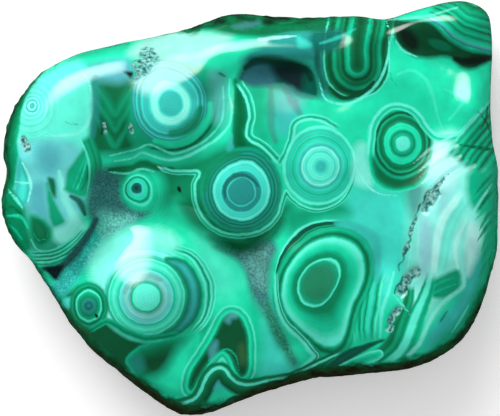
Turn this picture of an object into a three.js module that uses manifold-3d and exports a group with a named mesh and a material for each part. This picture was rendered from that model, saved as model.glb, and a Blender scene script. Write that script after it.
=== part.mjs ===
// A hand-sized freeform of malachite in one piece. The face is ground and polished over the growth
// domes and the low ground between them, the rind is left natural round the sides, and the back is
// sawn flat, so the stone lies still with its face up. Millimetres, +Z up, +X along the stone's
// length. The origin is on the sawn back, under the middle of the stone.
import * as THREE from "three";
import { ImprovedNoise } from "three/addons/math/ImprovedNoise.js";
import { mergeVertices } from "three/addons/utils/BufferGeometryUtils.js";
import Module from "manifold-3d";

const wasm = await Module();
wasm.setup();

// Heights above the sawn back
const GIRTH_HEIGHT = 13; // where the stone is widest
const FLOOR_HEIGHT = 22; // the low ground of the face, between the domes
const FLOOR_CROWN = 3; // how far the low ground falls from the middle to the rim
const SAW_DEPTH = 3; // how much of the nodule the saw took off below the back

// The rounded edge of the face, and the sides below it
const SHOULDER = 8; // width of the rounding, inwards from the outline
const SHOULDER_POWER = 2.3; // 2 is a quarter circle, more is squarer
const BACK_INSET = 8; // how far the sides draw in at the bottom of the nodule

// The natural rind round the sides: grape-like lumps below the girth, fine grit all over it
const RIND_LUMPS = { size: 11, height: 6 };
const LUMP_LEVEL = 0.8; // share of a lump's height that lies inside the smooth side
const RIND_GRIT = { size: 3.6, height: 0.6 };
const RIND_REACH = 5; // how far the grit runs in over the face

// The polish
const POLISH_BLEND = 2; // how softly one dome runs into the next
const POLISH_RIPPLE = { size: 11, height: 0.35 };

// Mesh of the nodule before it is sawn: a ball of fine triangles, and the share of the ball's
// surface that goes to the face, to its rounded edge and to the sides. The rest is under the saw.
const BALL_DETAIL = 21;
const FACE_PART = 0.58;
const SHOULDER_PART = 0.22;
const SIDE_PART = 0.16;
const SAWN_FROM = FACE_PART + SHOULDER_PART + SIDE_PART;

// Where the stone is widest, seen from above, counter-clockwise from the east
const OUTLINE = [
  [55.3, 0.4], [55.1, 8.6], [53.7, 18.2], [53.8, 29.2], [53.8, 38.6], [52.9, 44.2], [47.6, 46.2], [40.2, 45.2],
  [33.7, 43.1], [29.9, 42.1], [23.6, 42.8], [15.3, 42.8], [7.5, 42.6], [0.2, 43.3], [-6.2, 43.1],
  [-11.6, 41], [-22.2, 38.1], [-31.2, 36.3], [-40.2, 33.6], [-47.5, 29.4], [-52.3, 22.8], [-54.9, 15.5],
  [-55.1, 11.2], [-53.8, 8.1], [-55, 4.2], [-55.5, -0.2], [-53.8, -5.6], [-49.6, -10.9], [-45, -17.5],
  [-40.6, -24.6], [-35.4, -31.4], [-28.7, -36.9], [-22, -42], [-16.4, -45.6], [-11, -46.2], [-6.1, -44.7],
  [0.7, -42], [8, -39.4], [16.8, -37.7], [26.8, -36.8], [35.7, -35.8], [42.4, -33.1], [48.1, -28.5],
  [51.7, -21.4], [54, -14.2], [55.4, -6.8],
];

// Growth domes and raised fields: centre, half lengths, turn in degrees, height over the low ground,
// and the power of the profile, where 2 is a round dome and 4 or more is a flat-topped field
const DOMES = [
  { name: "west lobe", at: [-42, 10], reach: [15, 30], turn: -13, rise: 6.5, power: 3.4 },
  { name: "north-west eye", at: [-17.2, 22.2], reach: [15.5, 15], turn: 0, rise: 6.2, power: 2.2 },
  { name: "chevron saddle", at: [-30, 23.5], reach: [12, 15], turn: 0, rise: 4.8, power: 3 },
  { name: "north ridge", at: [6, 34.4], reach: [32, 7.4], turn: 8, rise: 6.2, power: 2 },
  { name: "west end of the ridge", at: [-10.5, 29], reach: [12, 7.5], turn: 32, rise: 6.2, power: 2 },
  { name: "centre eye", at: [-2.2, 3], reach: [13.4, 13], turn: 0, rise: 5.2, power: 2.4 },
  { name: "north field", at: [1, 18], reach: [17, 20], turn: 0, rise: 4.6, power: 4 },
  { name: "north-east field", at: [26, 15], reach: [35, 30], turn: 20, rise: 4.6, power: 5 },
  { name: "inner eye", at: [15.6, 9.4], reach: [11.5, 11.5], turn: 0, rise: 5.4, power: 2.4 },
  { name: "east eye", at: [33.8, 12.4], reach: [11, 12.5], turn: 0, rise: 5.4, power: 2.4 },
  { name: "curl", at: [22.6, 34], reach: [10, 13], turn: 0, rise: 7.4, power: 2.4 },
  { name: "north-east corner", at: [46, 40], reach: [15, 11], turn: -14, rise: 6.4, power: 2 },
  { name: "east flank", at: [43.5, -3], reach: [16, 26], turn: -4, rise: 9, power: 2.4 },
  { name: "hatched edge", at: [51.5, 20.5], reach: [9, 12], turn: 15, rise: 7.6, power: 2 },
  { name: "south eye", at: [15.8, -16.5], reach: [16, 20], turn: -20, rise: 5.8, power: 2.6 },
  { name: "south-east lobe", at: [33, -26], reach: [20, 16], turn: 20, rise: 5.8, power: 2.6 },
  { name: "south-west dome", at: [-24.2, -20], reach: [16.5, 16], turn: 0, rise: 9.6, power: 1.6 },
  { name: "south lobe", at: [-8, -34.5], reach: [18, 16], turn: 25, rise: 3.4, power: 2.2 },
  { name: "south-west rim", at: [-31, -29], reach: [18, 10.5], turn: -52, rise: 4, power: 2.6 },
  { name: "bud", at: [-35.8, -21.4], reach: [6.5, 7.5], turn: 0, rise: 5.4, power: 2 },
  { name: "little eye", at: [-24.8, 4.6], reach: [6, 6], turn: 0, rise: 1.4, power: 2 },
];

// Hollows and pits: centre, half lengths, turn in degrees, depth
const HOLLOWS = [
  { name: "dark hollow", at: [5.2, 28.8], reach: [9.5, 8], turn: -8, depth: 2.2 },
  { name: "north-east hollow", at: [40.5, 33.6], reach: [10, 4.6], turn: -18, depth: 3.4 },
  { name: "south-west dip", at: [-17.5, -31.5], reach: [6, 4], turn: 30, depth: 1 },
  { name: "north pit", at: [-23, 31.2], reach: [2.5, 3.2], turn: 30, depth: 0.8 },
  { name: "valley pit", at: [-31.4, 16.6], reach: [2.5, 3.2], turn: 0, depth: 0.7 },
  { name: "notch pit", at: [-25.6, 17], reach: [2.4, 2.8], turn: 0, depth: 0.5 },
  { name: "west pit", at: [-49.4, 14.4], reach: [2.4, 3.2], turn: 15, depth: 1 },
  { name: "upper east pit", at: [39.2, 0.4], reach: [2.3, 4.8], turn: -32, depth: 0.6 },
  { name: "lower east pit", at: [34.6, -18.2], reach: [2.3, 3.8], turn: -42, depth: 0.6 },
  { name: "seam pit", at: [31.2, -25], reach: [2.3, 3.4], turn: -28, depth: 0.6 },
];

// Grooves: the line each follows, its half width and its depth
const GROOVES = [
  {
    name: "west trench",
    line: [[-32.4, 5], [-31.4, -1.5], [-34, -7.5], [-38.5, -12], [-44, -13.4]],
    width: 3,
    depth: 2.7,
  },
  {
    name: "trench floor",
    line: [[-29, 3], [-30, -4], [-34.5, -11], [-40, -17]],
    width: 3.2,
    depth: 1.2,
  },
  {
    name: "foot of the north-west eye",
    line: [[-6.6, 32], [-6.2, 24], [-8, 16], [-14.5, 11.4], [-24, 12.4]],
    width: 3,
    depth: 1,
  },
  {
    name: "middle valley",
    line: [[-17.5, -1.5], [-10, -6.2], [-2, -10.6], [2.4, -15], [4, -21], [8.4, -30]],
    width: 3.2,
    depth: 2.2,
  },
  {
    name: "south-east notch",
    line: [[17.5, -37], [22, -33.6], [28.6, -30.6]],
    width: 2.4,
    depth: 1.6,
  },
  {
    name: "foot of the curl",
    line: [[27.9, 41], [27.9, 34], [25.8, 27], [20, 23.6]],
    width: 2.4,
    depth: 0.7,
  },
];

const noise = new ImprovedNoise();
const outline = new THREE.CatmullRomCurve3(
  OUTLINE.map(([x, y]) => new THREE.Vector3(x, y, 0)),
  true,
  "centripetal",
);
outline.arcLengthDivisions = 2000;

const clamp01 = (value) => THREE.MathUtils.clamp(value, 0, 1);

// The larger of two heights, with the crease between them rounded over.
function smoothMax(a, b, blend) {
  const overlap = Math.max(blend - Math.abs(a - b), 0) / blend;
  return Math.max(a, b) + (overlap * overlap * blend) / 4;
}

// Distance from an elliptical feature's centre, 1 at its edge.
function ellipseShare(x, y, { at, reach, turn }) {
  const angle = THREE.MathUtils.degToRad(turn);
  const dx = x - at[0];
  const dy = y - at[1];
  const along = dx * Math.cos(angle) + dy * Math.sin(angle);
  const across = dy * Math.cos(angle) - dx * Math.sin(angle);
  return Math.hypot(along / reach[0], across / reach[1]);
}

// Distance from a point to a line of straight stretches.
function distanceToLine(x, y, line) {
  let nearest = Infinity;
  for (let i = 1; i < line.length; i++) {
    const [ax, ay] = line[i - 1];
    const [bx, by] = line[i];
    const lengthSquared = (bx - ax) ** 2 + (by - ay) ** 2;
    const share = clamp01(((x - ax) * (bx - ax) + (y - ay) * (by - ay)) / lengthSquared);
    nearest = Math.min(nearest, Math.hypot(x - ax - share * (bx - ax), y - ay - share * (by - ay)));
  }
  return nearest;
}

const bell = (share) => Math.exp(-share * share);

// Height of the polished face at a point, before the edge is rounded over.
function faceHeight(x, y, rimShare) {
  let relief = 0;
  for (const dome of DOMES) {
    const cap = dome.rise * (1 - ellipseShare(x, y, dome) ** dome.power);
    relief = smoothMax(relief, cap, POLISH_BLEND);
  }
  for (const hollow of HOLLOWS) relief -= hollow.depth * bell(ellipseShare(x, y, hollow));
  for (const groove of GROOVES) {
    relief -= groove.depth * bell(distanceToLine(x, y, groove.line) / groove.width);
  }
  const ripple = POLISH_RIPPLE.height * noise.noise(x / POLISH_RIPPLE.size, y / POLISH_RIPPLE.size, 0.5);
  return FLOOR_HEIGHT - FLOOR_CROWN * rimShare ** 2 + relief + ripple;
}

// How far the grit of the rind stands out at a point.
function rindGrit(x, y, z) {
  const { size, height } = RIND_GRIT;
  return height * noise.noise(x / size, y / size, z / size + 11.3);
}

// Grape-like lumps: 1 on the crown of a lump, falling to 0 in the creases between lumps.
function rindLumps(x, y, z) {
  const cell = [x, y, z].map((value) => value / RIND_LUMPS.size);
  const home = cell.map(Math.floor);
  let nearest = Infinity;
  for (let step = 0; step < 27; step++) {
    const corner = [
      home[0] + (step % 3) - 1,
      home[1] + (Math.floor(step / 3) % 3) - 1,
      home[2] + Math.floor(step / 9) - 1,
    ];
    const seeds = [0.37, 5.91, 9.43];
    const centre = corner.map((value, axis) => {
      const [i, j, k] = corner.map((part) => part * 0.731 + seeds[axis]);
      return value + 0.5 + 0.6 * noise.noise(i, j, k);
    });
    const apart = Math.hypot(...centre.map((value, axis) => value - cell[axis]));
    nearest = Math.min(nearest, apart);
  }
  return clamp01(1 - nearest * nearest);
}

// A point of the unit ball moved to its place on the nodule. From the top of the ball down, its
// surface goes to the face, the rounded edge, the sides and what the saw takes off.
function nodulePoint(ball) {
  const rim = outline.getPointAt((Math.atan2(ball.y, ball.x) / (2 * Math.PI) + 1) % 1);
  const reach = rim.length();
  const part = (1 - ball.z) / 2;
  const flatReach = reach - SHOULDER;
  const edgeShare = clamp01((part - FACE_PART) / SHOULDER_PART);
  const sideShare = clamp01((part - FACE_PART - SHOULDER_PART) / SIDE_PART);
  const sawnShare = clamp01((part - SAWN_FROM) / (1 - SAWN_FROM));

  const turn = (edgeShare * Math.PI) / 2;
  const roundness = 2 / SHOULDER_POWER;
  const onFace = flatReach * Math.sqrt(Math.min(part / FACE_PART, 1)) + SHOULDER * Math.sin(turn) ** roundness;
  const draw = onFace - BACK_INSET * sideShare ** 2;
  const out = draw * Math.sqrt(1 - sawnShare);
  const share = out / reach;
  const x = rim.x * share;
  const y = rim.y * share;

  const crest = faceHeight(x, y, share);
  const upper = THREE.MathUtils.lerp(GIRTH_HEIGHT, crest, Math.cos(turn) ** roundness);
  const z = sideShare > 0 ? THREE.MathUtils.lerp(GIRTH_HEIGHT, -SAW_DEPTH, sideShare) : upper;

  const gritty = clamp01(1 - (reach - onFace) / RIND_REACH) * (1 - sawnShare);
  const lumpy = Math.sin(Math.PI * sideShare) * RIND_LUMPS.height;
  const bulge = gritty * rindGrit(x, y, z) + lumpy * (rindLumps(x, y, z) - LUMP_LEVEL);
  const grown = 1 + bulge / Math.max(out, SHOULDER);
  return [x * grown, y * grown, z];
}

// A geometry whose triangles share their corners.
function joined(geometry) {
  geometry.deleteAttribute("normal");
  geometry.deleteAttribute("uv");
  return mergeVertices(geometry, 1e-4);
}

// A closed geometry as a solid for joining and cutting.
function solidOf(geometry) {
  return new wasm.Manifold(
    new wasm.Mesh({
      numProp: 3,
      vertProperties: geometry.getAttribute("position").array,
      triVerts: new Uint32Array(geometry.getIndex().array),
    }),
  );
}

// A solid as a geometry to draw.
function geometryOf(solid) {
  const { vertProperties, triVerts } = solid.getMesh();
  const geometry = new THREE.BufferGeometry();
  geometry.setAttribute("position", new THREE.BufferAttribute(vertProperties, 3));
  geometry.setIndex(new THREE.BufferAttribute(triVerts, 1));
  geometry.computeVertexNormals();
  return geometry;
}

// The whole nodule, before sawing: a ball of fine triangles whose corners are moved to the stone's form.
function nodule() {
  const ball = joined(new THREE.IcosahedronGeometry(1, BALL_DETAIL));
  const corners = ball.getAttribute("position");
  const corner = new THREE.Vector3();
  for (let i = 0; i < corners.count; i++) {
    corner.fromBufferAttribute(corners, i);
    corners.setXYZ(i, ...nodulePoint(corner));
  }
  return ball;
}

// What the saw leaves: everything above the flat back.
function aboveTheSaw() {
  const size = 200;
  return joined(new THREE.BoxGeometry(size, size, size).translate(0, 0, size / 2));
}

// The sawn stone, with the middle of its box over the origin.
function sawnStone() {
  const geometry = geometryOf(solidOf(nodule()).intersect(solidOf(aboveTheSaw())));
  geometry.computeBoundingBox();
  const middle = geometry.boundingBox.getCenter(new THREE.Vector3());
  return geometry.translate(-middle.x, -middle.y, 0);
}

const stone = new THREE.Mesh(
  sawnStone(),
  new THREE.MeshStandardMaterial({ color: 0x17b487, roughness: 0.12, metalness: 0 }),
);
stone.name = "malachite_stone";

const specimen = new THREE.Group();
specimen.add(stone);

export default specimen;
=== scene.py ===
"""A hand-sized lump of banded malachite with a polished face, dressed round its CAD frame.

The stone is one piece. Its shape is the CAD solid, rounded by subdivision and given its grit and
chips. Its banding is laid out in plan, in millimetres, as eyes, strands and pools painted over each
other in the order in which they cover one another on the face.
"""
from __future__ import annotations

import itertools
import logging
import math
from dataclasses import dataclass, field
from enum import Enum
from typing import Any, Iterator

import bpy
import numpy as np
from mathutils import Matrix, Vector, noise
from mathutils.geometry import delaunay_2d_cdt


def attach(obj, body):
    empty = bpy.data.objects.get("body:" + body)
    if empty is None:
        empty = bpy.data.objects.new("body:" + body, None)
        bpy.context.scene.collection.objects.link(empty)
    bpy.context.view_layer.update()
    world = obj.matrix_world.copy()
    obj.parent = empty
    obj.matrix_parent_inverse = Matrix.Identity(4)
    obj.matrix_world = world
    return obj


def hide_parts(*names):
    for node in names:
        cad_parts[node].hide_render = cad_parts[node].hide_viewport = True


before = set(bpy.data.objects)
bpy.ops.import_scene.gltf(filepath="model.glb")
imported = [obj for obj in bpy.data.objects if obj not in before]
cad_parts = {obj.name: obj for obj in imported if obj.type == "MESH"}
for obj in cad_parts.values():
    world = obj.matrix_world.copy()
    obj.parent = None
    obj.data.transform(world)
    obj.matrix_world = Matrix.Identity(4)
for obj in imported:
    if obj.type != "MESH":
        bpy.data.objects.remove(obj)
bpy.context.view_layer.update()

log = logging.getLogger("malachite")

MM = 0.001
STONE_NODE = "malachite_stone"
# How far a layer's measure goes past its first and last band.
SPARE_MM = 1
# The width over which a described ring's corners are rounded off.
EYE_BLUR_DEG = 47

Pair = tuple[float, float]
# A place in plan, and how far something reaches at each bearing, in degrees from the east.
Point = Pair
Reach = tuple[Pair, ...]
# Where a fade starts and ends, and what it gives there.
Fade = tuple[float, float, float, float]
Tree = bpy.types.NodeTree
Socket = bpy.types.NodeSocket


class Tone(Enum):
    """Shades of malachite, as sRGB hex: the more copper-rich and the coarser the fibre, the darker. A few
    also serve for painted shade, shadow and reflection.
    """

    ICE = "b6fff6"
    PALE = "86f8e6"
    MINT = "5ff6da"
    AQUA = "40dfcb"
    TURQUOISE = "36bfb4"
    TEAL = "24938c"
    DEEP_TEAL = "14685c"
    SPRING = "1fdfae"
    JADE = "10c496"
    EMERALD = "0fa87c"
    GREEN = "0c8a5e"
    PINE = "0a7046"
    FOREST = "0c5232"
    BLACK = "0d241b"
    OLIVE = "4f7a44"
    SLATE = "3a7c7a"
    ASH = "6cb2aa"
    SKY = "54b9c0"
    STEEL = "2f6c76"
    MIST = "66d4d2"
    LILAC = "8ad0d4"
    # Near-black, used for painted shade and painted reflection in the hollow and the trench.
    INK = "14262a"
    # Dark grey-teal painted shadow, laid along the trench.
    SOOT = "2f5c5e"
    RUST = "241f10"
    BOTTLE = "0a5847"
    MOSS = "248c66"
    FERN = "0c613b"
    FROST = "8fdccc"
    CRUMB = "a8ccc4"


# Where in a noise each tone stands, in order.
Shades = tuple[tuple[float, Tone], ...]


class Gloss(Enum):
    """How a layer leaves the surface: as it finds it, or with its own roughness."""

    KEEP = None
    POLISHED = 0.08
    WORN = 0.34
    SAWN = 0.5
    MATTE = 0.6
    RIND = 0.85


def linear(tone: str) -> tuple[float, float, float]:
    """Turns an sRGB hex colour into linear light.

    Args:
        tone: six hex digits.

    Returns:
        Red, green and blue, 0 to 1.
    """
    parts = [int(tone[i:i + 2], 16) / 255 for i in (0, 2, 4)]
    return tuple(c / 12.92 if c <= 0.04045 else ((c + 0.055) / 1.055) ** 2.4 for c in parts)


def read_bands(recipe: str) -> list[tuple[float, Tone, float]]:
    """Reads a band recipe such as "0 teal, 2.6 teal, 3 pale, 3.4 pale 0".

    Args:
        recipe: places in millimetres, each with a tone and, where it isn't full, its cover.

    Returns:
        Place, tone and cover of each stop, in order.
    """
    stops = []
    for stop in recipe.split(","):
        place, tone, *cover = stop.split()
        stops.append((float(place), Tone[tone.upper()], float(cover[0]) if cover else 1.0))
    return stops


def smooth(points: tuple[Point, ...], closed: bool, steps: int = 6) -> np.ndarray:
    """Draws a smooth curve through given points.

    Args:
        points: what the curve passes through.
        closed: whether it returns to its start.
        steps: short straight pieces for each span.

    Returns:
        The curve's points, the first again at the end if it is closed.
    """
    knots = np.array(points, float)
    if closed:
        knots = np.vstack([knots[-1:], knots, knots[:2]])
    else:
        knots = np.vstack([2 * knots[0] - knots[1], knots, 2 * knots[-1] - knots[-2]])
    share = np.linspace(0, 1, steps, endpoint=False)[:, None]
    spans = []
    for a, b, c, d in zip(knots, knots[1:], knots[2:], knots[3:]):
        spans.append(b + 0.5 * share * (
            c - a + share * (2 * a - 5 * b + 4 * c - d + share * (3 * (b - c) + d - a))))
    return np.vstack([*spans, knots[-2:-1]])


def across(spots: np.ndarray, line: np.ndarray) -> tuple[np.ndarray, np.ndarray]:
    """Measures spots against a line.

    Args:
        spots: places in plan.
        line: the line's points in order.

    Returns:
        Distance from the line, positive to its left, and how far along it the nearest point is, 0 to 1.
    """
    best = np.full(len(spots), np.inf)
    side = np.ones(len(spots))
    along = np.zeros(len(spots))
    spans = np.diff(line, axis=0)
    lengths = np.hypot(*spans.T)
    starts = np.concatenate([[0], np.cumsum(lengths)])
    for a, span, length, start in zip(line, spans, lengths, starts):
        if length == 0:
            continue
        off = spots - a
        share = np.clip(off @ span / length ** 2, 0, 1)
        gap = off - share[:, None] * span
        distance = np.einsum("ij,ij->i", gap, gap)
        nearer = distance < best
        best[nearer] = distance[nearer]
        turn = span[0] * off[nearer, 1] - span[1] * off[nearer, 0]
        side[nearer] = np.where(turn < 0, -1, 1)
        along[nearer] = (start + share[nearer] * length) / starts[-1]
    return np.sqrt(best) * side, along


@dataclass(frozen=True)
class Layer:
    """One growth feature, painted over those before it."""

    name: str
    bands: str
    gloss: Gloss = field(default=Gloss.KEEP, kw_only=True)

    def measure(self, spots: np.ndarray) -> np.ndarray:
        """Gives each spot's place in the bands, in millimetres."""
        raise NotImplementedError

    def shown(self, spots: np.ndarray) -> np.ndarray | None:
        """Gives how far the layer shows at each spot, where its bands alone don't say."""
        return None

    def span(self) -> Pair:
        """Gives the first and last place of the bands."""
        stops = read_bands(self.bands)
        return stops[0][0], stops[-1][0]

    def paint(self, spots: np.ndarray, colours: np.ndarray) -> np.ndarray:
        """Lays the bands over colours that spots already have.

        Args:
            spots: places in plan.
            colours: linear red, green and blue of each spot.

        Returns:
            The colours with this layer.
        """
        places, tones, covers = zip(*read_bands(self.bands))
        measured = self.measure(spots)
        channels = zip(*(linear(tone.value) for tone in tones))
        tint = np.column_stack([np.interp(measured, places, channel) for channel in channels])
        return colours + np.interp(measured, places, covers)[:, None] * (tint - colours)

    def near(self, spots: np.ndarray, line: np.ndarray) -> np.ndarray:
        """Picks the spots that the bands round a line can reach.

        Args:
            spots: places in plan.
            line: the line's points.

        Returns:
            Whether each spot is near enough.
        """
        room = max(map(abs, self.span())) + SPARE_MM
        inside = (spots > line.min(0) - room) & (spots < line.max(0) + room)
        return inside.all(1)


Layers = tuple[Layer, ...]


@dataclass(frozen=True)
class Eye(Layer):
    """Rings round a growth centre, the ends of a stalactite or bud cut across.

    Rings near the centre are round, and they take on the reach's form towards the ring that it
    describes, which stands at ``ring`` in the bands.
    """

    centre: Point
    ring: float
    reach: Reach

    def measure(self, spots: np.ndarray) -> np.ndarray:
        """Gives each spot's distance from the centre, in terms of the described ring.

        Args:
            spots: places in plan.

        Returns:
            Place in the bands, in millimetres.
        """
        off = spots - np.array(self.centre)
        distance = np.hypot(*off.T)
        bearing = np.degrees(np.arctan2(off[:, 1], off[:, 0])) % 360
        whole = np.arange(360)
        form = np.interp(whole, *np.array(self.reach).T, period=360)
        soft = np.hanning(EYE_BLUR_DEG)
        form = np.convolve(np.tile(form, 3), soft / soft.sum(), "same")[360:720]
        edge = np.interp(bearing, whole, form, period=360)
        return distance * (1 + (self.ring / edge - 1) * np.clip(distance / edge, 0, 1))


@dataclass(frozen=True)
class Strand(Layer):
    """Bands that run along a line, positive to its left, wider or narrower at its ends."""

    line: tuple[Point, ...]
    ends: Pair = (1, 1)

    def measure(self, spots: np.ndarray) -> np.ndarray:
        """Gives each spot's distance across the line, widened where the strand narrows.

        Args:
            spots: places in plan.

        Returns:
            Place in the bands, in millimetres.
        """
        line = smooth(self.line, closed=False)
        near = self.near(spots, line)
        places = np.full(len(spots), self.span()[1] + SPARE_MM)
        distance, along = across(spots[near], line)
        places[near] = distance / np.interp(along, (0, 0.5, 1), (self.ends[0], 1, self.ends[1]))
        return places


@dataclass(frozen=True)
class Ribbon(Strand):
    """A strand whose two sides differ, and which fades out at its ends."""

    fade: float = 1.2
    side_fade: float = 0.5

    def shown(self, spots: np.ndarray) -> np.ndarray:
        """Fades the ribbon out towards its ends, and hides it where its sides would swap.

        Args:
            spots: places in plan.

        Returns:
            How far it shows, 0 to 1.
        """
        line = smooth(self.line, closed=False)
        near = self.near(spots, line)
        shown = np.zeros(len(spots))
        distance, along = across(spots[near], line)
        length = np.hypot(*np.diff(line, axis=0).T).sum()
        room = max(map(abs, self.span())) + self.side_fade
        ending = np.minimum(along, 1 - along) * length / self.fade
        shown[near] = np.clip(ending, 0, 1) * np.clip((room - np.abs(distance)) / self.side_fade, 0, 1)
        return shown


@dataclass(frozen=True)
class Thread(Strand):
    """A strand whose two sides are alike, with its bands from the middle outwards."""

    ends: Pair = (0.5, 0.5)

    def measure(self, spots: np.ndarray) -> np.ndarray:
        """Gives each spot's distance from the line, to either side."""
        return np.abs(super().measure(spots))


@dataclass(frozen=True)
class Pool(Layer):
    """An area with bands that follow its edge inwards."""

    edge: tuple[Point, ...]

    def measure(self, spots: np.ndarray) -> np.ndarray:
        """Gives each spot's depth inside the edge.

        Args:
            spots: places in plan.

        Returns:
            Place in the bands, in millimetres, below zero outside.
        """
        line = smooth(self.edge, closed=True)
        near = self.near(spots, line)
        places = np.full(len(spots), self.span()[0] - SPARE_MM)
        close = spots[near]
        inside = np.zeros(len(close), bool)
        for (ax, ay), (bx, by) in zip(line, line[1:]):
            spanned = (ay > close[:, 1]) != (by > close[:, 1])
            level = (close[:, 1] - ay) / (by - ay if by != ay else 1)
            inside ^= spanned & (close[:, 0] < ax + level * (bx - ax))
        depth = np.abs(across(close, line)[0])
        places[near] = np.where(inside, depth, -depth)
        return places


def thread(name: str, tone: str, width: float, *line: Point, ends: Pair = (0.5, 0.5),
           cover: float = 1, gloss: Gloss = Gloss.KEEP) -> Thread:
    """Makes a thread of one tone with soft sides.

    Args:
        name: what it is.
        tone: its tone's name.
        width: millimetres from side to side, at half cover.
        line: the points along its middle.
        ends: its width at the start and the end, as shares of the middle's.
        cover: how far it hides what is under it, 0 to 1.
        gloss: how it leaves the surface.

    Returns:
        The thread.
    """
    bands = f"0 {tone} {cover}, {0.25 * width} {tone} {cover}, {0.75 * width} {tone} 0"
    return Thread(name, bands, line, ends, gloss=gloss)


def pool(name: str, tone: str, soft: float, *edge: Point,
         cover: float = 1, gloss: Gloss = Gloss.KEEP) -> Pool:
    """Makes a pool of one tone with a soft edge.

    Args:
        name: what it is.
        tone: its tone's name.
        soft: millimetres over which its edge fades.
        edge: the points along its edge.
        cover: how far it hides what is under it, 0 to 1.
        gloss: how it leaves the surface.

    Returns:
        The pool.
    """
    return Pool(name, f"{-0.5 * soft} {tone} 0, {0.5 * soft} {tone} {cover}", edge, gloss=gloss)


# The saddle between the two eyes of the north-west, with growth lines bent into chevrons.
SADDLE: Layers = (
    pool("green of the saddle", "pine", 2.5, (-36, 29), (-26, 29), (-24, 20), (-25, 13.5), (-31, 11.8),
         (-35.5, 14)),
    *(thread(f"chevron at {tip}", tone, 1.3, (-34, tip + 6.4), (-31.8, tip + 3), (-29.8, tip),
             (-28.2, tip + 2.2), (-26.4, tip + 5.4), cover=0.7)
      for tip, tone in ((22.2, "green"), (20.6, "emerald"), (19, "green"), (17.2, "emerald"),
                        (15.6, "pine"), (13.6, "emerald"))),
    # Painted reflection: a grey-blue film over the chevrons, below the north-west highlight.
    pool("blue over the chevrons", "sky", 2.4, (-36.5, 31.4), (-27, 33), (-26, 29), (-29, 27.6),
         (-33.6, 28.2), (-36, 29)),
)

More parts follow.
